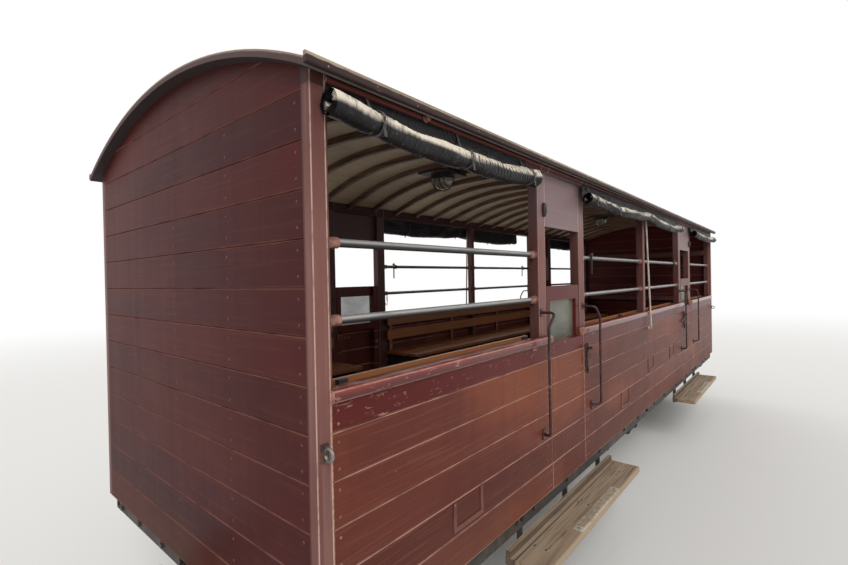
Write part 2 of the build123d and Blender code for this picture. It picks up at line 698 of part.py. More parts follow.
def floor_boards():
    """The floor, lying on the underframe, with grooves along the boards."""
    x1 = FRAME_X
    floor = box(-x1, x1, -POST_INNER_Y, POST_INNER_Y, SOLEBAR_TOP_Z, FLOOR_TOP_Z)
    pitch = 2 * POST_INNER_Y / FLOOR_BOARDS
    for row in range(1, FLOOR_BOARDS):
        y = -POST_INNER_Y + row * pitch
        outline = [(y - 3, FLOOR_TOP_Z), (y, FLOOR_TOP_Z - 4), (y + 3, FLOOR_TOP_Z)]
        floor = floor - along_x(outline, -x1, x1)
    return floor


def guard_rails():
    """The round rails across each window opening of the right-hand side."""
    y = -(FRAME_Y + POST_INNER_Y) / 2
    bays = [
        (-HALF_LENGTH + CORNER_CORE, -OPENING_OUT - DOOR_POST_WIDTH),
        (-OPENING_IN + DOOR_POST_WIDTH, -CENTRE_POST_WIDTH / 2),
    ]
    rails = []
    for x0, x1 in bays:
        for rel in GUARD_RAIL_RELS:
            z = PLANK_BOTTOM_Z + rel
            rail = rod_x(GUARD_RAIL_RADIUS, x0, x1, y, z)
            rail = rail + rod_x(COLLAR_RADIUS - 5, x0, x0 + COLLAR_THICKNESS, y, z)
            rail = rail + rod_x(COLLAR_RADIUS - 5, x1 - COLLAR_THICKNESS, x1, y, z)
            rails.extend(both_ends(rail))
    return Compound(children=rails)


def grab_handles():
    """The grab rails beside the doorways of the right-hand side."""
    y_out = -HALF_WIDTH - HANDLE_STAND_OFF
    top = PLANK_BOTTOM_Z + HANDLE_TOP_REL
    foot = PLANK_BOTTOM_Z + HANDLE_FOOT_REL
    handles = []
    for sign in (-1, 1):
        x = -DOOR_X + sign * HANDLE_OFFSET
        x_top = -DOOR_X + sign * (DOOR_OPENING / 2 + DOOR_POST_WIDTH * 0.72)
        x_foot = x - sign * 30
        path = [
            (x_top, -FRAME_Y, top), (x_top, y_out, top), (x, y_out, top - 80),
            (x, y_out, foot), (x_foot, -HALF_WIDTH - 5, foot - 8),
        ]
        rod = bent_rod(path, HANDLE_RADIUS, 26)
        upper = box(x_top - 18, x_top + 18, -FRAME_Y - 5, -FRAME_Y, top - 22, top + 22)
        lower = box(x_foot - 18, x_foot + 18, -HALF_WIDTH - 6, -HALF_WIDTH, foot - 36, foot + 20)
        handles.extend(both_ends(joined([rod, upper, lower])))
    return Compound(children=handles)


def label_clip(x, rel):
    """A flat U-shaped clip on the boards of the right-hand side, with its lower left corner at x."""
    z = PLANK_BOTTOM_Z + rel
    y0 = -HALF_WIDTH - CLIP_THICKNESS
    left = box(x, x + CLIP_BAR, y0, -HALF_WIDTH, z, z + CLIP_HEIGHT)
    right = box(x + CLIP_WIDTH - CLIP_BAR, x + CLIP_WIDTH, y0, -HALF_WIDTH, z, z + CLIP_HEIGHT)
    low = box(x, x + CLIP_WIDTH, y0, -HALF_WIDTH, z, z + CLIP_BAR)
    return joined([left, right, low])


def door_catch(x):
    """The catch beside the near right-hand door: a plate with a slide bolt between lugs, and a lever."""
    face = -HALF_WIDTH
    z0 = PLANK_BOTTOM_Z + CATCH_REL
    z1 = z0 + CATCH_HEIGHT
    half = CATCH_WIDTH / 2
    bolt_y = face - 8 - CATCH_BOLT_RADIUS
    pieces = [
        box(x - half, x + half, face - 6, face, z0, z1),
        rod_z(CATCH_BOLT_RADIUS, x, bolt_y, z0 - 10, z1 + 12),
        rod_y(CATCH_BOLT_RADIUS + 4, x, bolt_y - 34, bolt_y, z1 - 20),
    ]
    for z in (z0 + 8, z1 - 44):
        pieces.append(box(x - half + 3, x + half - 3, bolt_y - CATCH_BOLT_RADIUS - 3, face, z, z + 16))
    lever_x = x + half + 16
    lever_z = z0 + CATCH_HEIGHT * 0.54
    lever = [(x, lever_z + 3), (lever_x, lever_z), (lever_x + CATCH_LEVER, lever_z - 18)]
    pieces.append(along_y(strap(lever, CATCH_LEVER_HEIGHT), face - 16, face - 10))
    pieces.append(rod_y(CATCH_LEVER_HEIGHT * 0.7, lever_x, face - 18, face, lever_z))
    return joined(pieces)


def eye_bolt():
    """The eye on its plate, on the side face of the near right-hand corner post."""
    x = -HALF_LENGTH + CORNER_FACE / 2
    z = PLANK_BOTTOM_Z + EYE_BOLT_REL
    plate = box(x - 14, x + 14, -HALF_WIDTH - 5, -HALF_WIDTH, z - 30, z + 30)
    stem = rod_y(EYE_WIRE, x, -HALF_WIDTH - 5 - EYE_WIRE * 2, -HALF_WIDTH, z)
    eye_y = -HALF_WIDTH - 5 - EYE_WIRE - EYE_RADIUS
    eye = Pos(x, eye_y, z) * Rot(0, 90, 0) * Torus(EYE_RADIUS, EYE_WIRE)
    return joined([plate, stem, eye])


def side_fittings():
    """Label clips, door catches and corner eyes of both sides; left-hand clips are turned half round."""
    pieces = []
    clips = (
        (NEAR_CLIP_FROM_END, LOW_CLIP_REL), (SECOND_CLIP_FROM_END, LOW_CLIP_REL),
        (THIRD_CLIP_FROM_END, HIGH_CLIP_REL), (FAR_CLIP_FROM_END, HIGH_CLIP_REL),
    )
    for from_end, rel in clips:
        clip = label_clip(-HALF_LENGTH + from_end, rel)
        pieces.extend([clip, Rot(0, 0, 180) * clip])
    for fitting in (door_catch(-OPENING_IN + CATCH_WIDTH / 2 + 10), eye_bolt()):
        for piece in both_ends(fitting):
            pieces.extend(both_sides(piece))
    return Compound(children=pieces)


def bench(x0, x1):
    """One slatted bench: seat and back slats on L-shaped standards, along the right-hand side."""
    back = -POST_INNER_Y + 4
    upright = back + 22
    seat_z = FLOOR_TOP_Z + SEAT_HEIGHT
    under = seat_z - SEAT_SLAT_THICKNESS
    pitch = SEAT_DEPTH / SEAT_SLATS
    top = seat_z + BACK_TOP_SLAT + BACK_SLAT_HEIGHT
    pieces = []
    for slat in range(SEAT_SLATS):
        y0 = upright + 2 + slat * pitch
        pieces.append(box(x0, x1, y0, y0 + pitch - SEAT_SLAT_GAP, under, seat_z))
    for row in (BACK_LOW_SLAT, BACK_TOP_SLAT):
        z0 = seat_z + row
        pieces.append(box(x0, x1, upright, upright + BACK_SLAT_THICKNESS, z0, z0 + BACK_SLAT_HEIGHT))
    front = upright + 2 + SEAT_DEPTH - SEAT_SLAT_GAP
    outline = [
        (back, FLOOR_TOP_Z), (back + 50, FLOOR_TOP_Z), (back + 50, under - 190), (front - 60, under - 42),
        (front, under - 42), (front, under), (upright, under), (upright, top), (back, top),
    ]
    legs = 1 + round((x1 - x0) / BENCH_LEG_PITCH)
    for leg in range(legs):
        x = x0 + 60 + leg * (x1 - x0 - 120) / (legs - 1)
        pieces.append(along_x(outline, x - 20, x + 20))
    return pieces


def benches():
    """Slatted benches along the right-hand side, one per bay."""
    end = FRAME_X - POST_DEPTH - BENCH_END_GAP
    spans = [
        (-end, -OPENING_OUT - BENCH_DOOR_GAP),
        (-OPENING_IN + BENCH_DOOR_GAP, OPENING_IN - BENCH_DOOR_GAP),
        (OPENING_OUT + BENCH_DOOR_GAP, end),
    ]
    pieces = []
    for x0, x1 in spans:
        pieces.extend(bench(x0, x1))
    return Compound(children=pieces)


def blind(x0, x1):
    """A rolled canvas blind on the right-hand side, with the straps that hold it under the fascia."""
    roll = rod_x(BLIND_RADIUS, x0, x1, -BLIND_Y, BLIND_Z)
    pieces = [roll]
    count = round((x1 - x0) / BLIND_STRAP_SPACING) + 1
    for index in range(count):
        x = x0 + 60 + index * (x1 - x0 - 120) / (count - 1)
        pieces.append(box(
            x - BLIND_STRAP / 2, x + BLIND_STRAP / 2, -HALF_WIDTH - BLIND_CLEAR - 1, -HALF_WIDTH - 0.3,
            BLIND_Z, FASCIA_Z + FASCIA_DEPTH - BEAD_HEIGHT - BEAD_PROUD))
    return joined(pieces)


def blind_spans():
    """The stretches of the three blinds of a side."""
    corner = HALF_LENGTH - BLIND_END_GAP
    near = (-corner, -OPENING_OUT - DOOR_POST_WIDTH - BLIND_SHORT_OF_DOOR)
    middle = (-OPENING_IN - BLIND_OVER_DOOR, OPENING_IN - DOOR_POST_WIDTH - BLIND_SHORT_OF_FAR_DOOR)
    return [near, middle, (OPENING_OUT - BLIND_OVER_DOOR, corner)]


def step_board(x):
    """A step board with an upstand along its inner edge, under a right-hand doorway."""
    x0 = x - STEP_LENGTH / 2
    x1 = x + STEP_LENGTH / 2
    y0 = -HALF_WIDTH - STEP_WIDTH
    board = box(x0, x1, y0, -FRAME_Y, STEP_TOP_Z - STEP_THICKNESS, STEP_TOP_Z)
    board = fillet(board.edges().filter_by(Axis.X).sort_by(Axis.Y)[:2], 5)
    upstand = box(x0, x1, -HALF_WIDTH, -HALF_WIDTH + 24, STEP_TOP_Z - 1, STEP_TOP_Z + STEP_UPSTAND)
    return board + upstand


def door(x, hinge_sign):
    """A planked door of the right-hand side, hinged on the side of the opening that hinge_sign names."""
    hinge_x = x + hinge_sign * (DOOR_OPENING / 2 - DOOR_HINGE_GAP)
    free_x = x - hinge_sign * (DOOR_OPENING / 2 - DOOR_FREE_GAP)
    x0, x1 = sorted((hinge_x, free_x))
    z0 = PLANK_BOTTOM_Z + DOOR_BOTTOM_REL
    z1 = PLANK_BOTTOM_Z + DOOR_TOP_REL
    rail_z = PLANK_BOTTOM_Z + DOOR_RAIL_BOTTOM_REL
    top = rail_z + DOOR_RAIL_HEIGHT
    boards = box(x0, x1, -HALF_WIDTH, -FRAME_Y, z0, z1)
    for groove in side_grooves(x0, x1, 2, SIDE_BOARDS, -HALF_WIDTH):
        boards = boards - groove
    y0 = -FRAME_Y
    y1 = -POST_INNER_Y
    pieces = [boards]
    for stile_x in (x0, x1 - DOOR_STILE):
        pieces.append(box(stile_x, stile_x + DOOR_STILE, y0, y1, z0, top))
    pieces.append(box(x0 + 1, x1 - 1, y0, y0 + 30, rail_z, top))
    for z in (z0, z1 - 60):
        pieces.append(box(x0 + 1, x1 - 1, y0, y1, z, z + 60))
    hinge_at = x + hinge_sign * DOOR_OPENING / 2
    for rel in (DOOR_BOTTOM_REL + 60, DOOR_TOP_REL - 130):
        z = PLANK_BOTTOM_Z + rel
        pieces.append(rod_z(HINGE_RADIUS, hinge_at, -HINGE_Y, z, z + 34))
        a, b = sorted((hinge_at, hinge_at - hinge_sign * 150))
        pieces.append(box(a, b, y1 - 0.5, y1 + 5, z, z + 34))
    plate_x = free_x + hinge_sign * CATCH_WIDTH / 2
    plate_z = PLANK_BOTTOM_Z + CATCH_REL + CATCH_HEIGHT / 2
    half = CATCH_WIDTH / 2
    face = -HALF_WIDTH
    pieces.append(box(plate_x - half, plate_x + half, face - 4, face, plate_z - 24, plate_z + 24))
    return joined(pieces)


def hinge_keeps(x, hinge_sign):
    """The fixed halves of a door's hinges on the post."""
    hinge_at = x + hinge_sign * DOOR_OPENING / 2
    pieces = []
    for rel in (DOOR_BOTTOM_REL + 60, DOOR_TOP_REL - 130):
        z = PLANK_BOTTOM_Z + rel + 39
        knuckle = rod_z(HINGE_RADIUS, hinge_at, -HINGE_Y, z, z + 34)
        leaf = box(hinge_at, hinge_at + hinge_sign * 60, -POST_INNER_Y, -POST_INNER_Y + 5, z, z + 34)
        pieces.append(knuckle + leaf)
    return pieces


def wheel_profile():
    """Half section of one wheel as (y, radius) points, hub to flange to tread to hub."""
    back = WHEEL_BACK
    front = back + WHEEL_WIDTH
    rim = WHEEL_RADIUS - 48
    return [
        (back - 6, AXLE_RADIUS - 2), (back - 6, 88), (back + 30, 96), (back + 48, rim - 20),
        (back + 4, rim), (back, WHEEL_RADIUS - 12), (back, AXLE_Z - 8), (back + 8, AXLE_Z),
        (back + 16, AXLE_Z - 1), (back + FLANGE_WIDTH, WHEEL_RADIUS + 8),
        (back + FLANGE_WIDTH + 10, WHEEL_RADIUS), (front, WHEEL_RADIUS - 4), (front, rim + 4),
        (back + 70, rim - 20), (back + 56, 98), (front + 8, 88), (front + 8, AXLE_RADIUS - 2),
    ]


def wheelset(x):
    """An axle with two disc wheels and its journals."""
    points = [Vector(x, y, AXLE_Z + r) for y, r in wheel_profile()]
    section = make_face(Polyline(*points, close=True))
    wheel = revolve(section, axis=Axis((x, 0, AXLE_Z), (0, 1, 0)))
    axle = rod_y(AXLE_RADIUS, x, -WHEEL_BACK - WHEEL_WIDTH - 12, WHEEL_BACK + WHEEL_WIDTH + 12, AXLE_Z)
    journal = rod_y(JOURNAL_RADIUS, x, -JOURNAL_END, JOURNAL_END, AXLE_Z)
    return joined([axle, journal] + both_sides(wheel))


def side_frame_bars(x):
    """One diamond-shaped bogie side at negative Y: two arch bars, a tie bar and two columns."""
    y0 = -SIDE_FRAME_Y - SIDE_FRAME_WIDTH / 2
    y1 = y0 + SIDE_FRAME_WIDTH
    half = WHEELBASE / 2
    box_top = AXLE_Z + AXLEBOX_SIZE / 2
    box_low = AXLE_Z - AXLEBOX_SIZE / 2
    reach = half + AXLEBOX_SIZE / 2 + 22
    near = half - AXLEBOX_SIZE / 2 - 22
    upper_z = box_top + ARCH_BAR * 1.5
    lower_z = box_top + ARCH_BAR / 2
    tie_z = box_low - ARCH_BAR / 2
    arch_z = ARCH_TOP_Z - ARCH_BAR / 2
    sag_z = ARCH_BOTTOM_Z + ARCH_BAR * 1.5
    low_z = ARCH_BOTTOM_Z + ARCH_BAR / 2
    knee = COLUMN_X + COLUMN_WIDTH / 2 + 10
    bars = []
    for end_z, middle_z in ((upper_z, arch_z), (lower_z, sag_z), (tie_z, low_z)):
        half_line = [(-reach, end_z), (-near, end_z), (-knee, middle_z)]
        line = half_line + [(-u, z) for u, z in half_line[::-1]]
        outline = strap([(x + u, z) for u, z in line], ARCH_BAR)
        bars.append(along_y(outline, y0, y1))
    for sign in (-1, 1):
        u = x + sign * COLUMN_X
        bars.append(box(u - COLUMN_WIDTH / 2, u + COLUMN_WIDTH / 2, y0 + 6, y1 - 6, sag_z, arch_z))
    return joined(bars)


def bogie_frame(x):
    """Two diamond sides tied by a spring plank and two transoms."""
    sides = both_sides(side_frame_bars(x))
    reach = SIDE_FRAME_Y + SIDE_FRAME_WIDTH / 2
    inner = COLUMN_X - COLUMN_WIDTH / 2 - 6
    plank = box(x - inner, x + inner, -reach, reach, SPRING_FOOT_Z - SPRING_PLANK - 1, SPRING_FOOT_Z)
    transoms = []
    for sign in (-1, 1):
        u0 = x + sign * (COLUMN_X - 5)
        u1 = x + sign * TRANSOM_FACE
        transoms.append(box(u0, u1, -SIDE_FRAME_Y, SIDE_FRAME_Y, TRANSOM_Z, TRANSOM_Z + TRANSOM_HEIGHT))
    return joined(sides + [plank] + transoms)


def axleboxes(x):
    """Four axleboxes with the journals' bores and rounded covers."""
    boxes = []
    half = AXLEBOX_SIZE / 2
    inner = SIDE_FRAME_Y - SIDE_FRAME_WIDTH / 2 - 12
    outer = JOURNAL_END + 16
    for u in (-WHEELBASE / 2, WHEELBASE / 2):
        body = box(x + u - half, x + u + half, -outer, -inner, AXLE_Z - half, AXLE_Z + half)
        body = fillet(body.edges().filter_by(Axis.Y), 14)
        lid = rod_y(half - 16, x + u, -outer - 10, -outer + 1, AXLE_Z)
        bore = rod_y(JOURNAL_RADIUS + JOURNAL_CLEARANCE, x + u, -JOURNAL_END - 4, -inner + 1, AXLE_Z)
        boxes.extend(both_sides((body + lid) - bore))
    return Compound(children=boxes)


def coil_spring():
    """A coil spring between its two seats, standing on the origin."""
    height = BOLSTER_BOTTOM_Z + 12 - SPRING_FOOT_Z
    coil = SPRING_RADIUS - SPRING_WIRE
    free = height - 2 * SPRING_SEAT
    path = Helix(pitch=free / SPRING_COILS, height=free, radius=coil)
    wire = sweep(Plane(origin=path @ 0, z_dir=path % 0) * Circle(SPRING_WIRE), path=path, is_frenet=True)
    lower = rod_z(SPRING_RADIUS + 2, 0, 0, -SPRING_SEAT, 0)
    upper = rod_z(SPRING_RADIUS + 2, 0, 0, free, free + SPRING_SEAT)
    post = rod_z(coil - SPRING_WIRE - 6, 0, 0, -SPRING_SEAT, free * 0.42)
    return Pos(0, 0, SPRING_SEAT) * joined([lower, wire, upper, post])


def bogie_bolster(x):
    """The bolster on its coil springs, with the centre bowl and side bearers."""
    half = BOLSTER_HALF
    reach = SIDE_FRAME_Y + SIDE_FRAME_WIDTH / 2 + 20
    low = BOLSTER_BOTTOM_Z + 12
    outline = [
        (-reach, BOLSTER_TOP_Z - 30), (-reach + 60, BOLSTER_TOP_Z), (reach - 60, BOLSTER_TOP_Z),
        (reach, BOLSTER_TOP_Z - 30), (reach, low), (-reach, low),
    ]
    beam = along_x(outline, x - half, x + half)
    pad_top = BOLSTER_TOP_Z + BEARER_PAD
    ring = rod_z(CENTRE_PLATE_RADIUS + 27, x, 0, BOLSTER_TOP_Z - 1, pad_top)
    ring = ring - rod_z(CENTRE_PLATE_RADIUS + 4, x, 0, BOLSTER_TOP_Z, pad_top + 2)
    pad = box(x - 60, x + 60, SIDE_BEARER_Y - 45, SIDE_BEARER_Y + 45, BOLSTER_TOP_Z - 1, pad_top)
    bore = rod_z(CENTRE_PIN_RADIUS + COUPLER_PIN_CLEARANCE, x, 0, BOLSTER_BOTTOM_Z, BOLSTER_TOP_Z + 5)
    pieces = [joined([beam, ring] + both_sides(pad)) - bore]
    spring = coil_spring()
    for y in (-SIDE_FRAME_Y, SIDE_FRAME_Y):
        for u in (-SPRING_PITCH / 2, SPRING_PITCH / 2):
            pieces.append(Pos(x + u, y, SPRING_FOOT_Z) * spring)
    return Compound(children=pieces)


def brake_gear(x):
    """Brake beams with shoes and hangers, inside the wheels of one bogie."""
    pieces = []
    beam_top = AXLE_Z - 5
    beam_low = beam_top - BRAKE_BEAM_HEIGHT
    for sign in (-1, 1):
        axle_x = x + sign * WHEELBASE / 2
        inner = WHEEL_RADIUS + SHOE_GAP
        outer = inner + SHOE_THICKNESS
        beam_x = axle_x - sign * (outer - 4)
        beam_back = beam_x - sign * BRAKE_BEAM_WIDTH
        end_y = BRAKE_Y + SHOE_WIDTH / 2
        beam = box(beam_x, beam_back, -end_y, end_y, beam_low, beam_top)
        pieces.append(beam)
        half = SHOE_WIDTH / 2
        ring = rod_y(outer, axle_x, BRAKE_Y - half, BRAKE_Y + half, AXLE_Z)
        ring = ring - rod_y(inner, axle_x, BRAKE_Y - half - 1, BRAKE_Y + half + 1, AXLE_Z)
        low_z = AXLE_Z - SHOE_HEIGHT / 2
        window = box(
            axle_x - sign * (inner - 60), axle_x - sign * (outer + 5), BRAKE_Y - half, BRAKE_Y + half,
            low_z, low_z + SHOE_HEIGHT)
        pieces.extend(both_sides((ring & window) - beam))
        near = x + sign * TRANSOM_FACE
        far = near + sign * HANGER_WIDTH
        hanger = box(near, far, BRAKE_Y - 12, BRAKE_Y + 12, beam_low, TRANSOM_Z + TRANSOM_HEIGHT - 10)
        link = box(far, beam_back, BRAKE_Y - 12, BRAKE_Y + 12, beam_low + 2, beam_top - 3)
        pieces.extend(both_sides(hanger + link))
    return Compound(children=pieces)


def coupler():
    """The knuckle coupler at the near end, closed."""
    pivot = -COUPLER_PIVOT_X
    reach = COUPLER_PIVOT_INSET + COUPLER_REACH

    def flat(points, z0, z1):
        outline = make_face(Polyline(*[(pivot - u, v, z0) for u, v in points], close=True))
        return extrude(outline, amount=z1 - z0, dir=(0, 0, 1))

    z0 = COUPLER_Z - SHANK_HALF
    z1 = COUPLER_Z + SHANK_HALF
    neck = reach - 0.8 * COUPLER_HEAD_LENGTH
    shank = flat([(0, -SHANK_HALF), (neck, -SHANK_HALF), (neck, SHANK_HALF), (0, SHANK_HALF)], z0, z1)
    tail = rod_z(SHANK_HALF, pivot, 0, z0, z1)

    def shaped(points):
        return [(reach - back * COUPLER_HEAD_LENGTH, side * COUPLER_HEAD_LENGTH) for back, side in points]

    root = reach - COUPLER_HEAD_LENGTH
    outer = shaped([
        (0.79, -0.45), (0.51, -0.57), (0.30, -0.57), (0.22, -0.40), (0.38, -0.17), (0.43, 0.06),
        (0.26, 0.30), (0.0, 0.48), (0.025, 0.64), (0.26, 0.62), (0.64, 0.43),
    ])
    head = flat(
        [(root, -SHANK_HALF), *outer, (root, SHANK_HALF)],
        COUPLER_Z - COUPLER_HEAD_HALF, COUPLER_Z + COUPLER_HEAD_HALF)
    head = fillet(head.edges().filter_by(Axis.Z), COUPLER_EDGE)
    knuckle = flat(shaped([
        (0.44, -0.26), (0.41, -0.52), (0.17, -0.545), (0.035, -0.39), (0.0, -0.17),
        (0.05, 0.017), (0.19, 0.06), (0.26, -0.06), (0.24, -0.195), (0.33, -0.25),
    ]), COUPLER_Z - KNUCKLE_HALF, COUPLER_Z + KNUCKLE_HALF)
    knuckle = fillet(knuckle.edges().filter_by(Axis.Z), COUPLER_EDGE / 2)
    pin_x, pin_y = shaped([(0.31, -0.417)])[0]
    pin_low = COUPLER_Z - KNUCKLE_HALF - COUPLER_PIN_FOOT
    pin_high = COUPLER_Z + KNUCKLE_HALF + COUPLER_PIN_HEAD
    pin = rod_z(COUPLER_KNUCKLE_PIN_RADIUS, pivot - pin_x, pin_y, pin_low, pin_high)
    body = joined([shank, tail, head, knuckle, pin])
    return body - rod_z(COUPLER_PIN_RADIUS + COUPLER_PIN_CLEARANCE, pivot, 0, z0 - 1, z1 + 1)


def truss_rods():
    """The truss rods with queen posts, under both sides."""
    y = TRUSS_Y
    low = SOLEBAR_BOTTOM_Z - TRUSS_DEPTH
    top = BEARER_BOTTOM_Z
    near_half = [(-TRUSS_END_X, y, top - 20), (-TRUSS_POST_X, y, low)]
    path = near_half + [(-x, y, z) for x, y, z in near_half[::-1]]
    pieces = [bent_rod(path, TRUSS_ROD_RADIUS, 60)]
    half = TRUSS_POST_HALF
    for sign in (-1, 1):
        post_x = sign * TRUSS_POST_X
        pieces.append(box(post_x - half, post_x + half, y - half, y + half, low - 6, top))
        end_x = sign * TRUSS_END_X
        pieces.append(box(end_x - half - 4, end_x + half + 4, y - half - 4, y + half + 4, top - 50, top))
    pieces.append(rod_x(TRUSS_ROD_RADIUS * 2, -110, 110, y, low))
    return Compound(children=both_sides(joined(pieces)))


def brake_cylinder():
    """The brake cylinder between the centre sills and the left-hand truss rod, hung from two bearers."""
    y = BRAKE_CYLINDER_Y
    half = BRAKE_CYLINDER_LENGTH / 2
    z = BEARER_BOTTOM_Z - BRAKE_CYLINDER_RADIUS - 25
    body = rod_x(BRAKE_CYLINDER_RADIUS, -half, half, y, z)
    body = fillet(body.edges(), 24)
    rod = rod_x(BRAKE_ROD_RADIUS, half - 5, half + BRAKE_ROD_REACH, y, z)
    beam_z = z + BRAKE_CYLINDER_RADIUS - 25
    reach = TRUSS_POST_X + 20
    beam = box(-reach, reach, y - 40, y + 40, beam_z, beam_z + 28)
    hangers = []
    for x in (-TRUSS_POST_X, TRUSS_POST_X):
        hangers.append(box(x - 20, x + 20, y - 60, y + 60, z - 6, BEARER_BOTTOM_Z))
    return joined([body, rod, beam] + hangers)


def build_nodes():
    """Every sub-part under its node name."""
    frame_right = side_frame()
    wall = end_wall()
    ends = end_frame()
    draft = draft_gear()
    for x, sign in ((-DOOR_X, -1), (DOOR_X, 1)):
        frame_right.extend(hinge_keeps(x, sign))
    post_out = OPENING_OUT + DOOR_POST_WIDTH
    post_in = OPENING_IN - DOOR_POST_WIDTH
    half_post = CENTRE_POST_WIDTH / 2
    panels = [
        waist_panel(-HALF_LENGTH + CORNER_FACE, -OPENING_OUT, [(-HALF_LENGTH + CORNER_CORE, -post_out)]),
        waist_panel(-OPENING_IN, OPENING_IN, [(-post_in, -half_post), (half_post, post_in)]),
    ]
    panels.append(to_rear(panels[0]))
    nodes = {
        "underframe": underframe(),
        "body_bolsters": Compound(children=both_ends(body_bolster())),
        "draft_gear": Compound(children=both_ends(draft[0]) + both_ends(draft[1])),
        "floor": floor_boards(),
        "end_wall_front": wall,
        "end_wall_rear": to_rear(wall),
        "end_frame_front": ends,
        "end_frame_rear": to_rear(ends),
        "roof_skin": roof_skin(),
        "roof_edge_strips": roof_edge_strips(),
        "roof_carlines": roof_carlines(),
        "ceiling_lamps": ceiling_lamps(),
        "side_fittings": side_fittings(),
        "truss_rods": truss_rods(),
        "brake_cylinder": brake_cylinder(),
    }
    right = {
        "sill_board": sill_board(),
        "side_frame": Compound(children=frame_right),
        "guard_rails": guard_rails(),
        "grab_handles": grab_handles(),
        "bench": benches(),
    }
    places = ("front", "middle", "rear")
    for place, panel in zip(places, panels):
        right["side_panel_" + place] = panel
    for place, (x0, x1) in zip(places, blind_spans()):
        right["blind_" + place] = blind(x0, x1)
    for place, x, sign in (("front", -DOOR_X, -1), ("rear", DOOR_X, 1)):
        right["step_" + place] = step_board(x)
        right["door_" + place] = door(x, sign)
    for name, shape in right.items():
        nodes[name + "_right"] = shape
        nodes[name + "_left"] = to_left(shape)
    for place, x in (("front", -BOGIE_X), ("rear", BOGIE_X)):
        nodes["bogie_frame_" + place] = bogie_frame(x)
        nodes["axleboxes_" + place] = axleboxes(x)
        nodes["bogie_bolster_" + place] = bogie_bolster(x)
        nodes["brake_gear_" + place] = brake_gear(x)
        nodes["wheelset_" + place + "_outer"] = wheelset(x + math.copysign(WHEELBASE / 2, x))
        nodes["wheelset_" + place + "_inner"] = wheelset(x - math.copysign(WHEELBASE / 2, x))
    near_coupler = coupler()
    nodes["coupler_front"] = near_coupler
    nodes["coupler_rear"] = Rot(0, 0, 180) * near_coupler
    return nodes


os.makedirs("parts", exist_ok=True)
for node_name, node_shape in build_nodes().items():
    export_step(node_shape, os.path.join("parts", node_name + ".step"))
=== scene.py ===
"""Dresses the open-sided bogie coach: finishes for its CAD frame, canvas blinds, fixings and treads."""

import logging
import math
from dataclasses import dataclass
from enum import Enum

import bmesh
import bpy
from mathutils import Matrix, Vector, noise


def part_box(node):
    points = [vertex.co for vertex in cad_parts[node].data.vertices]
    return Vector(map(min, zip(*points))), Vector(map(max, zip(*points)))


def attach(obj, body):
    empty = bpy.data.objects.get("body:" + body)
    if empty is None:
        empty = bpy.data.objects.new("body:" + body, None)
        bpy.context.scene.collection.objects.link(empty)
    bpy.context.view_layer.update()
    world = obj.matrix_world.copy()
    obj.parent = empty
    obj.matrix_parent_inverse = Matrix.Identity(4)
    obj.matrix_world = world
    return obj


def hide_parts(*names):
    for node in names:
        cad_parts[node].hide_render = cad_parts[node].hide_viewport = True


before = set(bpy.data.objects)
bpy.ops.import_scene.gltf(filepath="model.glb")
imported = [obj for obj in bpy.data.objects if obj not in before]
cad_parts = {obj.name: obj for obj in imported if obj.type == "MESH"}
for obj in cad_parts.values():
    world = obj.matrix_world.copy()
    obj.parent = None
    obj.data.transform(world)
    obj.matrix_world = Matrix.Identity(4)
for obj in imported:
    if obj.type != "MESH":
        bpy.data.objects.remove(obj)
LOG = logging.getLogger("coach")
RGB = tuple[float, float, float]
Triple = tuple[float, float, float]


# Places and sizes, in metres


@dataclass(frozen=True)
class Coach:
    """Sizes of the coach body that several pieces share."""

    half_length: float = 3.830
    half_width: float = 1.040
    frame_y: float = 1.012
    post_inner_y: float = 0.952
    plank_z: float = 0.680
    plank_pitch: float = 0.155
    waist_z: float = 1.547
    cap_top_z: float = 1.593
    fascia_z: float = 2.552
    fascia_depth: float = 0.039
    roof_radius: float = 2.475
    door_x: float = 1.890
    door_half: float = 0.258
    door_post: float = 0.092
    centre_post: float = 0.028
    bay_end: float = 3.742
    corner_inner: float = 3.770
    corner_outer: float = 3.8275
    lamp_x: float = 1.818
    rail_y: float = 0.982
    rail_zs: tuple[float, float] = (1.807, 2.069)
    bogie_x: float = 2.450
    half_wheelbase: float = 0.585
    axle_z: float = 0.330
    side_frame_y: float = 0.560

    @property
    def opening_out(self) -> float:
        """Distance from the middle to the outer edge of a doorway."""
        return self.door_x + self.door_half

    @property
    def opening_in(self) -> float:
        """Distance from the middle to the inner edge of a doorway."""
        return self.door_x - self.door_half

    @property
    def bays(self) -> tuple[tuple[float, int], ...]:
        """Where each guard rail of one half ends, and the sign of X that leads into its bay there."""
        return ((self.bay_end, -1), (self.opening_out + self.door_post, 1),
                (self.opening_in - self.door_post, -1), (self.centre_post, 1))

    @property
    def roof_centre_z(self) -> float:
        """Height of the centre of the roof's arch."""
        return self.fascia_z + self.fascia_depth - math.sqrt(self.roof_radius ** 2 - self.half_width ** 2)

    def row_z(self, row: float) -> float:
        """Height of a board row, counted up from the lowest plank edge."""
        return self.plank_z + row * self.plank_pitch


COACH = Coach()
ALONG = Vector((1, 0, 0))
ACROSS = Vector((0, 1, 0))
UP = Vector((0, 0, 1))
DOWN = Vector((0, 0, -1))


class Way(Enum):
    """A sign along one axis, with a word for it."""

    @property
    def word(self) -> str:
        """The word that stands for it in the node names."""
        return self.name.lower()


class End(Way):
    """The ends of the coach, with the sign of their X."""

    FRONT = -1
    REAR = 1

    @property
    def out(self) -> Vector:
        """The direction out of this end."""
        return Vector((self.value, 0, 0))


class Side(Way):
    """The sides of the coach, with the sign of their Y."""

    RIGHT = -1
    LEFT = 1

    @property
    def out(self) -> Vector:
        """The direction out of this side."""
        return Vector((0, self.value, 0))


CORNERS = tuple((side, end) for side in Side for end in End)


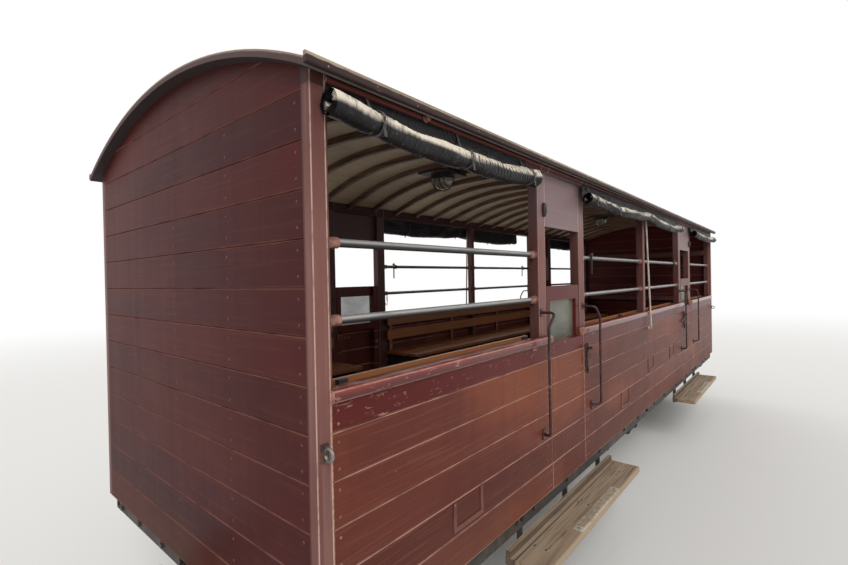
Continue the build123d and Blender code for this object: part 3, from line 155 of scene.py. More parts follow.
def quarter(side: Side, end: End, x: float, y: float, z: float) -> Vector:
    """The point at these distances from the coach's middle, in the quarter of this side and end."""
    return Vector((end.value * x, side.value * y, z))


def oval(middle: Vector, wide: Vector, tall: Vector, count: int) -> list[Vector]:
    """The points of an ellipse, from middle + wide by way of middle + tall."""
    turns = [2 * math.pi * step / count for step in range(count)]
    return [middle + wide * math.cos(turn) + tall * math.sin(turn) for turn in turns]


def srgb(red: int, green: int, blue: int) -> RGB:
    """Turns an sRGB colour of 0 to 255 into the linear one that a shader takes.

    Args:
        red: Red part.
        green: Green part.
        blue: Blue part.

    Returns:
        The linear red, green and blue.
    """
    shares = [part / 255 for part in (red, green, blue)]
    linear = [s / 12.92 if s <= 0.04045 else ((s + 0.055) / 1.055) ** 2.4 for s in shares]
    return (linear[0], linear[1], linear[2])


# Shader building


class Wire:
    """A shader socket that takes part in sums like a number."""

    def __init__(self, graph: "Graph", socket: bpy.types.NodeSocket) -> None:
        """Keeps the socket and the graph that it belongs to."""
        self.graph = graph
        self.socket = socket

    def _sum(self, operation: str, first: object, second: object = 0.0) -> "Wire":
        """Adds a Math node with this operation and these inputs, each a Wire or a number."""
        return self.graph.node("ShaderNodeMath", {"operation": operation}, {0: first, 1: second})

    def __add__(self, other: object) -> "Wire":
        """This plus other."""
        return self._sum("ADD", self, other)

    def __radd__(self, other: object) -> "Wire":
        """Other plus this."""
        return self._sum("ADD", other, self)

    def __sub__(self, other: object) -> "Wire":
        """This minus other."""
        return self._sum("SUBTRACT", self, other)

    def __rsub__(self, other: object) -> "Wire":
        """Other minus this."""
        return self._sum("SUBTRACT", other, self)

    def __mul__(self, other: object) -> "Wire":
        """This times other."""
        return self._sum("MULTIPLY", self, other)

    def __rmul__(self, other: object) -> "Wire":
        """Other times this."""
        return self._sum("MULTIPLY", other, self)

    def __truediv__(self, other: object) -> "Wire":
        """This over other."""
        return self._sum("DIVIDE", self, other)

    def __pow__(self, other: object) -> "Wire":
        """This to the power of other."""
        return self._sum("POWER", self, other)

    def __mod__(self, other: object) -> "Wire":
        """What is left of this after whole steps of other."""
        return self._sum("FLOORED_MODULO", self, other)

    def __neg__(self) -> "Wire":
        """This with its sign turned."""
        return self._sum("MULTIPLY", self, -1.0)

    def __abs__(self) -> "Wire":
        """The size of this."""
        return self._sum("ABSOLUTE", self)

    def floor(self) -> "Wire":
        """The whole number at or below this."""
        return self._sum("FLOOR", self)

    def most(self, other: object) -> "Wire":
        """The larger of this and other."""
        return self._sum("MAXIMUM", self, other)

    def least(self, other: object) -> "Wire":
        """The smaller of this and other."""
        return self._sum("MINIMUM", self, other)

    def rise(self, low: float, high: float) -> "Wire":
        """A smooth step.

        Args:
            low: Where it is still 0, which may be above high.
            high: Where it has come to 1.

        Returns:
            The step.
        """
        if low > high:
            return 1.0 - self.rise(high, low)
        settings = {"interpolation_type": "SMOOTHSTEP"}
        inputs = {"Value": self, "From Min": low, "From Max": high}
        return self.graph.node("ShaderNodeMapRange", settings, inputs)

    def pulse(self, centre: float, reach: float) -> "Wire":
        """1 at centre, falling to 0 at a distance of reach."""
        return abs(self - centre).rise(reach, reach * 0.3)


class Graph:
    """The node tree of one material, or of the world."""

    def __init__(self, name: str, is_world: bool = False) -> None:
        """Makes an empty tree.

        Args:
            name: The name of its material or world.
            is_world: Whether it is a world's.
        """
        self.owner = (bpy.data.worlds if is_world else bpy.data.materials).new(name)
        self.owner.use_nodes = True
        self.tree = self.owner.node_tree
        self.last_kind = "ShaderNodeOutputWorld" if is_world else "ShaderNodeOutputMaterial"
        self.tree.nodes.clear()
        self._made: dict[str, Wire] = {}

    def node(self, kind: str, settings: dict[str, object], inputs: dict[object, object],
             output: object = 0) -> Wire:
        """Adds a node, sets it up and feeds its inputs.

        Args:
            kind: The node's type.
            settings: Its properties, set before its inputs.
            inputs: A Wire, number, vector or colour for each input.
            output: The output to hand back.

        Returns:
            That output.
        """
        node = self.tree.nodes.new(kind)
        for key, value in settings.items():
            setattr(node, key, value)
        for key, value in inputs.items():
            self.feed(node.inputs[key], value)
        return Wire(self, node.outputs[output])

    def feed(self, socket: bpy.types.NodeSocket, value: object) -> None:
        """Feeds one input.

        Args:
            socket: The input.
            value: A Wire to link, or a value to set.
        """
        if isinstance(value, Wire):
            self.tree.links.new(value.socket, socket)
        elif socket.type == "RGBA" and len(value) == 3:
            socket.default_value = (*value, 1.0)
        else:
            socket.default_value = value

    def once(self, key: str, kind: str, output: str, inputs: dict[object, object]) -> Wire:
        """Adds a node the first time that it is asked for.

        Args:
            key: What the result is kept under.
            kind: The node's type.
            output: The output to hand back.
            inputs: What to feed it.

        Returns:
            The output.
        """
        if key not in self._made:
            self._made[key] = self.node(kind, {}, inputs, output)
        return self._made[key]

    @property
    def here(self) -> Wire:
        """The point in the coach's own frame, in metres."""
        return self.once("here", "ShaderNodeTexCoord", "Object", {})

    @property
    def x(self) -> Wire:
        """How far along the coach the point is."""
        return self.once("x", "ShaderNodeSeparateXYZ", "X", {0: self.here})

    @property
    def y(self) -> Wire:
        """How far to the left the point is."""
        return self.once("y", "ShaderNodeSeparateXYZ", "Y", {0: self.here})

    @property
    def z(self) -> Wire:
        """How high the point is."""
        return self.once("z", "ShaderNodeSeparateXYZ", "Z", {0: self.here})

    @property
    def along(self) -> Wire:
        """How squarely the surface faces along the coach, from 0 to 1."""
        normal = self.once("normal", "ShaderNodeTexCoord", "Normal", {})
        return abs(self.once("along", "ShaderNodeSeparateXYZ", "X", {0: normal}))

    @property
    def up(self) -> Wire:
        """How far the surface faces up, from -1 to 1."""
        normal = self.once("normal", "ShaderNodeTexCoord", "Normal", {})
        return self.once("up", "ShaderNodeSeparateXYZ", "Z", {0: normal})

    def scaled(self, scale: Triple) -> Wire:
        """The point, scaled along each axis."""
        return self.node("ShaderNodeVectorMath", {"operation": "MULTIPLY"}, {0: self.here, 1: scale})

    def distance(self, point: Triple, scale: Triple = (1.0, 1.0, 1.0)) -> Wire:
        """How far the scaled point is from another."""
        inputs = {0: self.scaled(scale), 1: point}
        return self.node("ShaderNodeVectorMath", {"operation": "DISTANCE"}, inputs, "Value")

    def noise(self, scale: Triple, detail: float = 4.0, rough: float = 0.55, warp: float = 0.0) -> Wire:
        """Fractal noise about 0.5.

        Args:
            scale: Waves per metre along each axis.
            detail: Octaves.
            rough: How strong the finer octaves are.
            warp: How far the noise bends itself.

        Returns:
            The noise.
        """
        inputs = {"Vector": self.scaled(scale), "Scale": 1.0, "Detail": detail, "Roughness": rough,
                  "Distortion": warp}
        return self.node("ShaderNodeTexNoise", {}, inputs, "Fac")

    def lines(self, value: Wire, places: tuple[float, ...], reach: float) -> Wire:
        """Lines where a value comes to certain places.

        Args:
            value: The value, such as a distance.
            places: Where the lines are. There may be none.
            reach: How far a line reaches to each side.

        Returns:
            1 on the lines, falling to 0.
        """
        found = value * 0.0
        for place in places:
            found = found.most(value.pulse(place, reach))
        return found

    def cells(self, scale: Triple) -> Wire:
        """Distance to the nearest cell point."""
        return self.node("ShaderNodeTexVoronoi", {}, {"Vector": self.scaled(scale), "Scale": 1.0}, "Distance")

    def chance(self, value: Wire) -> Wire:
        """A steady random number from 0 to 1 for each value."""
        return self.node("ShaderNodeTexWhiteNoise", {"noise_dimensions": "1D"}, {"W": value}, "Value")

    def mix(self, share: object, a: object, b: object) -> Wire:
        """Blends from colour a to colour b by share."""
        settings = {"data_type": "RGBA", "blend_type": "MIX", "clamp_factor": True}
        return self.node("ShaderNodeMix", settings, {0: share, 6: a, 7: b}, 2)

    def bump(self, height: Wire, depth: float, over: Wire | None = None) -> Wire:
        """A bumped normal.

        Args:
            height: Height from 0 to 1.
            depth: What a height of 1 stands for, in metres.
            over: A normal to start from.

        Returns:
            The normal.
        """
        inputs = {"Height": height, "Distance": depth}
        if over is not None:
            inputs["Normal"] = over
        return self.node("ShaderNodeBump", {}, inputs)

    def surface(self, colour: object, rough: object, **more: object) -> bpy.types.Material:
        """Ends the graph in a Principled shader.

        Args:
            colour: Base colour.
            rough: Roughness.
            **more: Other inputs, with underscores for spaces.

        Returns:
            The finished material.
        """
        inputs = {"Base Color": colour, "Roughness": rough}
        inputs.update({key.replace("_", " "): value for key, value in more.items()})
        shader = self.node("ShaderNodeBsdfPrincipled", {}, inputs)
        return self.end(shader)

    def end(self, shader: Wire) -> bpy.types.ID:
        """Joins a shader to the tree's output.

        Args:
            shader: The shader.

        Returns:
            The material or world that the tree is in.
        """
        last = self.tree.nodes.new(self.last_kind)
        self.feed(last.inputs["Surface"], shader)
        return self.owner


# Finishes


@dataclass(frozen=True)
class Finish:
    """A procedural finish. Its fields are its colours and strengths."""

    name: str

    def build(self) -> bpy.types.Material:
        """Makes the material."""
        raise NotImplementedError


@dataclass(frozen=True)
class BoardPaint(Finish):
    """Old satin paint on horizontal boards, pale along the grooves from wear and painted highlight, deeper on
    the top board and cap.
    """

    plank: RGB = srgb(107, 53, 40)
    plank_dark: RGB = srgb(84, 39, 32)
    # Colour of the painted reflection patches.
    warm: RGB = srgb(138, 76, 50)
    top: RGB = srgb(86, 27, 26)
    # Colour of the painted highlight and rubbing on the cap's top.
    cap: RGB = srgb(132, 46, 36)
    worn: RGB = srgb(190, 146, 128)
    dust: RGB = srgb(120, 92, 74)
    crack: RGB = srgb(30, 16, 15)
    shine: float = 0.15
    edges: tuple[float, ...] = ()
    has_top_board: bool = True

    def build(self) -> bpy.types.Material:
        """Makes the material.

        Returns:
            The material.
        """
        g = Graph(self.name)
        row = (g.z - COACH.plank_z) / COACH.plank_pitch
        grain = g.noise((2.0, 2.0, 80.0), 5.0, 0.6)
        blotch = g.noise((1.5, 1.5, 2.6), 4.0, 0.6, 0.6)
        shade = g.chance(row.floor() + (g.x * 0.5).floor() * 13.7) * 0.5 + blotch * 0.8
        colour = g.mix(shade.rise(0.25, 1.05), self.plank, self.plank_dark)
        # Painted reflection: broad patches of warmer colour stand in for warm light thrown back onto the
        # boards.
        glow = g.noise((0.8, 0.8, 1.9), 3.0, 0.5, 0.3)
        colour = g.mix(glow.rise(0.48, 0.70) * 0.55, colour, self.warm)
        wash = g.noise((16.0, 16.0, 0.9), 4.0, 0.6)
        colour = g.mix(wash.rise(0.5, 0.74) * 0.22, colour, self.plank_dark)
        colour = g.mix(grain.rise(0.5, 0.7) * 0.08, colour, self.worn)
        ragged = g.noise((5.5, 5.5, 30.0), 5.0, 0.6)
        flaked = g.noise((26.0, 26.0, 60.0), 4.0, 0.6)
        if self.has_top_board:
            is_top = g.z.rise(COACH.row_z(5) - 0.001, COACH.row_z(5) + 0.001)
            is_cap = is_top * abs(g.y).rise(COACH.half_width + 0.001, COACH.half_width + 0.003)
            in_boards = 1.0 - g.z.rise(COACH.waist_z - 0.002, COACH.waist_z)
            colour = g.mix(is_top * (0.75 + 0.25 * blotch), colour, self.top)
            # Painted highlight: the top of the cap is lightened along its length, partly as rubbing.
            rubbed = is_cap * g.z.rise(COACH.cap_top_z - 0.03, COACH.cap_top_z - 0.004)
            colour = g.mix(rubbed * (0.4 + 0.6 * ragged.rise(0.4, 0.6)), colour, self.cap)
            gloss = is_cap * 0.7
            scuff = g.noise((13.0, 13.0, 44.0), 5.0, 0.7, 1.2).rise(0.60, 0.66)
            scuff = scuff * is_top * blotch.rise(0.44, 0.6)
        else:
            is_top = scuff = gloss = g.z * 0.0
            in_boards = 1.0 - is_top
        gap = (0.5 - abs(row % 1.0 - 0.5)) * COACH.plank_pitch
        # Painted highlight: the pale line and band along each groove stand in for the lit board edges, along
        # with wear.
        line = gap.rise(0.0050, 0.0026) * (0.45 + 0.55 * ragged.rise(0.38, 0.54))
        halo = gap.rise(0.014, 0.004) * ragged.rise(0.50, 0.70) * 0.2
        wear = (line.most(halo) * in_boards).most(self._edge_wear(g, flaked)).most(scuff * 0.55)
        rub = flaked.rise(0.68, 0.76) * blotch.rise(0.48, 0.64) * 0.4
        wear = wear.most(rub).least(1.0)
        colour = g.mix(wear * 0.85, colour, self.worn)
        colour = g.mix(gap.rise(0.0016, 0.0007) * in_boards * 0.85, colour, self.crack)
        low = g.z.rise(0.98, 0.66) * (0.25 + 0.75 * blotch.rise(0.3, 0.7))
        colour = g.mix(low * 0.28, colour, self.dust)
        shelf = g.up.rise(0.5, 0.95) * g.noise((9.0, 9.0, 9.0)).rise(0.4, 0.7)
        colour = g.mix(shelf * 0.3, colour, self.worn)
        rough = 0.46 - is_top * 0.10 + wear * 0.22 + low * 0.15 + (wash - 0.5) * 0.12
        ridges = g.bump(grain, 0.0006)
        normal = g.bump(flaked * (1.0 - wear * 0.5), 0.0004, ridges)
        return g.surface(
            colour, rough, Normal=normal, Specular_IOR_Level=self.shine, Coat_Weight=gloss,
            Coat_Roughness=0.18)

    def _edge_wear(self, g: Graph, flaked: Wire) -> Wire:
        """Pale wear along upright edges, and pale wear and painted highlight along the edges of the cap.

        Args:
            g: The graph.
            flaked: Fine noise that breaks the lines up.

        Returns:
            The wear and painted highlight, from 0 to 1.
        """
        found = g.lines(abs(g.x), self.edges, 0.005)
        # Painted highlight along both edges of the cap, along with wear.
        cap_edge_wear_and_highlight = g.z.pulse(COACH.waist_z + 0.004, 0.006).most(g.z.pulse(COACH.cap_top_z - 0.003, 0.007))
        proud = abs(g.y).rise(COACH.half_width + 0.006, COACH.half_width + 0.012)
        return found.most(cap_edge_wear_and_highlight * proud) * (0.5 + 0.5 * flaked.rise(0.40, 0.56))


@dataclass(frozen=True)
class PostPaint(Finish):
    """Faded paint on posts and headers, rubbed at the edges, with painted glare and shade, and the rod before
    the centre post painted pale as a highlight.
    """

    base: RGB = srgb(126, 84, 77)
    deep: RGB = srgb(98, 58, 54)
    # Lilac-grey of the headers: fading and painted glare.
    faded: RGB = srgb(128, 108, 110)
    # Colour of the painted shade on the fascia and on the inner faces.
    dark: RGB = srgb(58, 32, 32)
    worn: RGB = srgb(198, 168, 154)
    bead: RGB = srgb(112, 58, 52)
    # The rod's pale colour, a painted highlight.
    rod: RGB = srgb(190, 178, 168)
    edges: tuple[float, ...] = ()
    panel_half: float = 0.352
    panel_low_z: float = 2.20
    rod_half: float = 0.021

    def build(self) -> bpy.types.Material:
        """Makes the material.

        Returns:
            The material.
        """
        g = Graph(self.name)
        near_door = abs(abs(g.x) - COACH.door_x).rise(self.panel_half, self.panel_half - 0.002)
        panel = abs(abs(g.x) - COACH.door_x).rise(COACH.door_half + 0.001, COACH.door_half - 0.001)
        panel = panel * g.z.rise(self.panel_low_z, self.panel_low_z + 0.01)
        above = panel.most(g.z.rise(self.panel_low_z - 0.08, self.panel_low_z + 0.16) * near_door * 0.9)
        upright = g.noise((60.0, 60.0, 1.6), 5.0, 0.6)
        level = g.noise((1.8, 1.8, 80.0), 5.0, 0.6)
        grain = upright * (1.0 - panel) + level * panel
        blotch = g.noise((1.2, 1.2, 0.8), 4.0, 0.6, 0.5)
        colour = g.mix(blotch.rise(0.35, 0.68) * 0.8, self.base, self.deep)
        # Painted glare: the lilac-grey on the headers by the doors stands in for glare on the paint, together
        # with fading.
        colour = g.mix(above * (0.75 + 0.25 * blotch), colour, self.faded)
        colour = g.mix(grain.rise(0.48, 0.68) * 0.12, colour, self.worn)
        # Painted shade: everything above the fascia line is darkened.
        colour = g.mix(g.z.rise(COACH.fascia_z - 0.004, COACH.fascia_z + 0.004) * 0.85, colour, self.dark)
        at_bead = abs(g.y).rise(COACH.half_width - 0.001, COACH.half_width + 0.002)
        at_bead = at_bead * g.z.rise(COACH.fascia_z + 0.006, COACH.fascia_z + 0.012)
        colour = g.mix(at_bead * 0.9, colour, self.bead)
        # Painted shade: the inner faces of the posts are darkened.
        inside = abs(g.y).rise(COACH.frame_y - 0.003, COACH.frame_y - 0.009)
        colour = g.mix(inside * 0.65, colour, self.dark)
        flaked = g.noise((26.0, 26.0, 12.0), 4.0, 0.62)
        away = abs(g.x)
        # Painted highlight: the rod before the centre post is painted pale, broken by flaking.
        before_post = abs(g.y).rise(COACH.frame_y + 0.006, COACH.frame_y + 0.008)
        before_post = before_post * away.rise(self.rod_half + 0.001, self.rod_half - 0.001)
        rod = before_post * g.z.rise(COACH.fascia_z, COACH.fascia_z - 0.004)
        colour = g.mix(rod * (0.62 + 0.36 * flaked.rise(0.36, 0.58)), colour, self.rod)
        edge = g.lines(away, self.edges, 0.0045) * (0.45 + 0.55 * flaked.rise(0.38, 0.54))
        edge = edge * (1.0 - inside * 0.6) * g.along.rise(0.9, 0.6)
        rub = flaked.rise(0.68, 0.78) * blotch.rise(0.46, 0.64) * 0.4
        wear = edge.most(rub).least(1.0)
        colour = g.mix(wear * 0.85, colour, self.worn)
        rough = 0.50 + wear * 0.2 + (grain - 0.5) * 0.12
        return g.surface(colour, rough, Normal=g.bump(grain, 0.0007), Specular_IOR_Level=0.22)


@dataclass(frozen=True)
class RoofPaint(Finish):
    """Cream boarded ceiling below, weathered grey sheeting with laps above, painted shade under the eaves,
    and a dark end rim.
    """

    ceiling: RGB = srgb(196, 176, 148)
    ceiling_dull: RGB = srgb(160, 140, 118)
    # Colour of the painted shade under the eaves and at the ends.
    soffit: RGB = srgb(44, 27, 27)
    rim: RGB = srgb(66, 44, 42)
    rim_worn: RGB = srgb(158, 134, 116)
    sheet: RGB = srgb(120, 116, 110)
    sheet_dark: RGB = srgb(78, 74, 70)
    rust: RGB = srgb(126, 84, 58)
    seam_paint: RGB = srgb(96, 76, 60)
    rim_x: float = 3.880
    rim_radius: float = 2.494
    board_pitch: float = 0.11
    sheet_pitch: float = 1.22

    def build(self) -> bpy.types.Material:
        """Makes the material.

        Returns:
            The material.
        """
        g = Graph(self.name)
        over = g.up.rise(-0.2, 0.2)
        blotch = g.noise((1.1, 1.6, 1.0), 5.0, 0.6, 0.8)
        fine = g.noise((22.0, 22.0, 22.0), 4.0, 0.6)
        seam = abs((g.y / self.board_pitch) % 1.0 - 0.5).rise(0.47, 0.495)
        under = g.mix(blotch.rise(0.35, 0.7) * 0.8, self.ceiling, self.ceiling_dull)
        under = g.mix(seam * 0.55, under, self.seam_paint)
        # Painted shade: the underside near the eaves and at the ends is darkened.
        eaves = abs(g.y).rise(COACH.half_width - 0.028, COACH.half_width - 0.02)
        eaves = eaves.most(abs(g.x).rise(COACH.half_length - 0.004, COACH.half_length))
        under = g.mix(eaves, under, self.soffit)
        lap = abs((g.x / self.sheet_pitch) % 1.0 - 0.5).rise(0.483, 0.488)
        run = g.noise((2.0, 0.7, 0.7), 5.0, 0.65).rise(0.46, 0.7)
        top = g.mix(run, self.sheet, self.sheet_dark)
        top = g.mix(lap * 0.5, top, self.sheet_dark)
        rust = fine.rise(0.58, 0.72) * blotch.rise(0.45, 0.65) + lap * fine.rise(0.5, 0.62) * 0.6
        top = g.mix(rust.least(1.0) * 0.7, top, self.rust)
        colour = g.mix(over, under, top)
        drop = g.z - COACH.roof_centre_z
        out = (g.y * g.y + drop * drop) ** 0.5
        # The dark end rim is partly painted shade, and its outer edge is paler with wear.
        at_rim = (out + fine * 0.006).rise(self.rim_radius, self.rim_radius + 0.006)
        rim = g.mix(at_rim * 0.8, self.rim, self.rim_worn)
        colour = g.mix(abs(g.x).rise(self.rim_x - 0.0008, self.rim_x - 0.0002), colour, rim)
        height = lap * over + (1.0 - seam) * (1.0 - over) * 0.8 + fine * 0.12
        return g.surface(colour, 0.55 + fine * 0.25, Normal=g.bump(height, 0.0022))


@dataclass(frozen=True)
class EdgeStrip(Finish):
    """The drip strip: pale weathered wood along its top with a painted highlight, dark old paint below with
    painted shade.
    """

    bare: RGB = srgb(176, 156, 134)
    grey: RGB = srgb(128, 110, 96)
    paint: RGB = srgb(52, 36, 35)
    chipped: RGB = srgb(104, 82, 70)
    paint_top_z: float = 2.5990

    def build(self) -> bpy.types.Material:
        """Makes the material.

        Returns:
            The material.
        """
        g = Graph(self.name)
        fibre = g.noise((3.0, 46.0, 46.0), 6.0, 0.66, 0.35)
        chips = g.noise((14.0, 60.0, 60.0), 5.0, 0.65)
        wood = g.mix(fibre.rise(0.34, 0.66), self.bare, self.grey)
        paint = g.mix(chips.rise(0.58, 0.72) * 0.7, self.paint, self.chipped)
        height = g.z + chips * 0.012
        # Painted highlight on the pale top and painted shade on the dark face below, split by height.
        colour = g.mix(height.rise(self.paint_top_z + 0.003, self.paint_top_z + 0.007), paint, wood)
        rough = 0.62 + (fibre - 0.5) * 0.2
        return g.surface(colour, rough, Normal=g.bump(fibre, 0.0014), Specular_IOR_Level=0.3)


@dataclass(frozen=True)
class Timber(Finish):
    """Bare, stained or varnished timber with grain along one axis, and where asked, painted shade in one
    corner and a painted highlight along one edge.
    """

    light: RGB
    dark: RGB
    grain: Triple
    rough: float = 0.6
    weathered: float = 0.0
    # Pale colour of the weathering and of the painted highlight.
    bleach: RGB = srgb(176, 166, 150)
    crack: RGB = srgb(34, 24, 18)
    shade: RGB = srgb(44, 31, 24)
    board_pitch: float = 0.0
    corner_y: float = 0.0
    edge_y: float = 9.0

    def build(self) -> bpy.types.Material:
        """Makes the material.

        Returns:
            The material.
        """
        g = Graph(self.name)
        fibre = g.noise(self.grain, 6.0, 0.66, 0.35)
        broad = g.noise(tuple(part * 0.16 for part in self.grain), 4.0, 0.6, 1.4)
        rings = abs((broad * 7.0) % 1.0 - 0.5) * 2.0
        pick = fibre * 0.62 + rings * 0.38
        if self.board_pitch:
            pick = pick + (g.chance((g.y / self.board_pitch + 0.5).floor()) - 0.5) * 0.35
        colour = g.mix(pick.rise(0.22, 0.78), self.light, self.dark)
        stain = g.noise((2.3, 2.3, 2.3), 5.0, 0.6)
        colour = g.mix(stain.rise(0.5, 0.72) * 0.35, colour, self.dark)
        bare = fibre.rise(0.36, 0.62) * self.weathered + g.up.rise(0.3, 0.9) * self.weathered * 0.45
        colour = g.mix(bare.least(1.0), colour, self.bleach)
        crack = g.noise(tuple(part * 1.9 for part in self.grain), 3.0, 0.5).rise(0.63, 0.68)
        colour = g.mix(crack * (0.25 + self.weathered * 0.5), colour, self.crack)
        # Painted shade: the upstand's face and the foot of the corner are darkened.
        if self.corner_y:
            shaded_upstand = (1.0 - g.up.rise(0.3, 0.7)) * abs(g.y).rise(self.corner_y, self.corner_y - 0.003)
            foot = abs(g.y).pulse(self.corner_y, 0.005) * g.up.rise(0.3, 0.7)
            colour = g.mix((shaded_upstand * 0.62).most(foot * 0.85), colour, self.shade)
        # Painted highlight: a pale band along the front edge.
        colour = g.mix(abs(g.y).pulse(self.edge_y, 0.012) * 0.6, colour, self.bleach)
        normal = g.bump(fibre * 0.7 + (1.0 - crack) * 0.3, 0.0006 + 0.0016 * self.weathered)
        rough = self.rough + (fibre - 0.5) * 0.2
        return g.surface(colour, rough, Normal=normal)


@dataclass(frozen=True)
class SlatBench(Finish):
    """Varnished slats on dark iron standards."""

    light: RGB = srgb(158, 98, 56)
    dark: RGB = srgb(96, 52, 30)
    worn: RGB = srgb(188, 142, 98)
    iron: RGB = srgb(36, 36, 37)
    rust: RGB = srgb(92, 62, 46)
    seat_under_z: float = 1.2215
    standard_y: float = 0.9263

    def build(self) -> bpy.types.Material:
        """Makes the material.

        Returns:
            The material.
        """
        g = Graph(self.name)
        fibre = g.noise((2.0, 44.0, 44.0), 6.0, 0.62, 0.3)
        each = g.chance((g.y * 7.5).floor() + (g.z * 9.0).floor() * 3.1)
        colour = g.mix((fibre * 0.75 + each * 0.35).rise(0.3, 0.85), self.light, self.dark)
        worn = g.up.rise(0.5, 1.0) * g.noise((3.0, 8.0, 8.0)).rise(0.46, 0.64)
        colour = g.mix(worn * 0.35, colour, self.worn)
        metal = g.z.rise(self.seat_under_z + 0.0005, self.seat_under_z - 0.0005)
        metal = metal.most(abs(g.y).rise(self.standard_y, self.standard_y + 0.0005))
        speck = g.noise((40.0, 40.0, 40.0), 4.0, 0.6)
        colour = g.mix(metal, colour, g.mix(speck.rise(0.56, 0.7) * 0.5, self.iron, self.rust))
        rough = 0.34 + fibre * 0.16 + metal * 0.2
        return g.surface(colour, rough, Normal=g.bump(fibre * (1.0 - metal) + speck * metal, 0.0006))


@dataclass(frozen=True)
class BlackSteel(Finish):
    """Underframe black: old oily paint, rust at random, road dust on upward faces."""

    base: RGB = srgb(44, 41, 40)
    rust: RGB = srgb(98, 62, 44)
    dust: RGB = srgb(124, 108, 92)
    rusted: float = 0.5

    def build(self) -> bpy.types.Material:
        """Makes the material.

        Returns:
            The material.
        """
        g = Graph(self.name)
        broad = g.noise((3.4, 3.4, 3.4), 5.0, 0.62, 0.5)
        fine = g.noise((46.0, 46.0, 46.0), 5.0, 0.65)
        rust = (broad * 0.6 + fine * 0.5).rise(0.66 - 0.16 * self.rusted, 0.80 - 0.12 * self.rusted)
        colour = g.mix(rust * 0.8, self.base, self.rust)
        dusty = g.up.rise(0.25, 0.95) * broad.rise(0.3, 0.62)
        film = g.noise((6.0, 6.0, 2.4), 4.0, 0.6).rise(0.42, 0.72) * 0.28
        colour = g.mix((dusty * 0.6).most(film), colour, self.dust)
        oily = g.noise((8.0, 8.0, 3.0)).rise(0.62, 0.72)
        rough = 0.62 + rust * 0.2 + dusty * 0.15 - oily * 0.28
        return g.surface(colour, rough, Normal=g.bump(fine, 0.0009 + 0.0006 * self.rusted))


@dataclass(frozen=True)
class WheelSteel(Finish):
    """A wheelset: bright rolling faces, rust-brown discs, oily axle ends."""

    axle_x: float = 0.0
    disc: RGB = srgb(86, 62, 50)
    disc_dark: RGB = srgb(52, 42, 38)
    rust: RGB = srgb(128, 82, 54)
    bright: RGB = srgb(188, 184, 178)
    bright_dull: RGB = srgb(142, 136, 130)
    oil: RGB = srgb(34, 30, 28)
    rolling_radius: float = 0.2995
    rolling_y: float = 0.351

    def build(self) -> bpy.types.Material:
        """Makes the material.

        Returns:
            The material.
        """
        g = Graph(self.name)
        radius = g.distance((self.axle_x, 0.0, COACH.axle_z), (1.0, 0.0, 1.0))
        fine = g.noise((38.0, 38.0, 38.0), 5.0, 0.65)
        broad = g.noise((5.0, 5.0, 5.0), 4.0, 0.6)
        colour = g.mix(broad.rise(0.36, 0.66), self.disc, self.disc_dark)
        colour = g.mix(fine.rise(0.58, 0.72) * 0.5, colour, self.rust)
        rolling = radius.rise(self.rolling_radius, self.rolling_radius + 0.002)
        rolling = rolling * abs(g.y).rise(self.rolling_y, self.rolling_y + 0.005)
        scuffed = (rolling * (0.86 + 0.14 * fine)).least(1.0)
        colour = g.mix(scuffed, colour, g.mix(fine.rise(0.4, 0.7), self.bright, self.bright_dull))
        hub = radius.rise(0.10, 0.06) * 0.7
        colour = g.mix(hub * (1.0 - scuffed), colour, self.oil)
        rough = 0.72 - scuffed * 0.42 - hub * 0.25
        normal = g.bump(fine * (1.0 - scuffed), 0.0012)
        return g.surface(colour, rough, Metallic=scuffed * 0.95, Normal=normal)


@dataclass(frozen=True)
class CastSteel(Finish):
    """Rough cast coupler steel with rubbed contact faces at its outer end."""

    base: RGB = srgb(72, 54, 44)
    deep: RGB = srgb(40, 34, 31)
    rust: RGB = srgb(120, 76, 50)
    bright: RGB = srgb(158, 150, 142)
    face_x: float = 4.02

    def build(self) -> bpy.types.Material:
        """Makes the material.

        Returns:
            The material.
        """
        g = Graph(self.name)
        skin = g.cells((120.0, 120.0, 120.0))
        broad = g.noise((7.0, 7.0, 7.0), 5.0, 0.6, 0.4)
        fine = g.noise((60.0, 60.0, 60.0), 4.0, 0.6)
        colour = g.mix(broad.rise(0.35, 0.65), self.base, self.deep)
        colour = g.mix(fine.rise(0.55, 0.7) * 0.5, colour, self.rust)
        rub = abs(g.x).rise(self.face_x, self.face_x + 0.08) * abs(g.up).rise(0.6, 0.2)
        rub = rub * broad.rise(0.44, 0.56)
        colour = g.mix(rub * 0.75, colour, self.bright)
        rough = 0.70 - rub * 0.34
        return g.surface(colour, rough, Metallic=rub * 0.85, Normal=g.bump(skin * 0.6 + fine * 0.4, 0.0016))


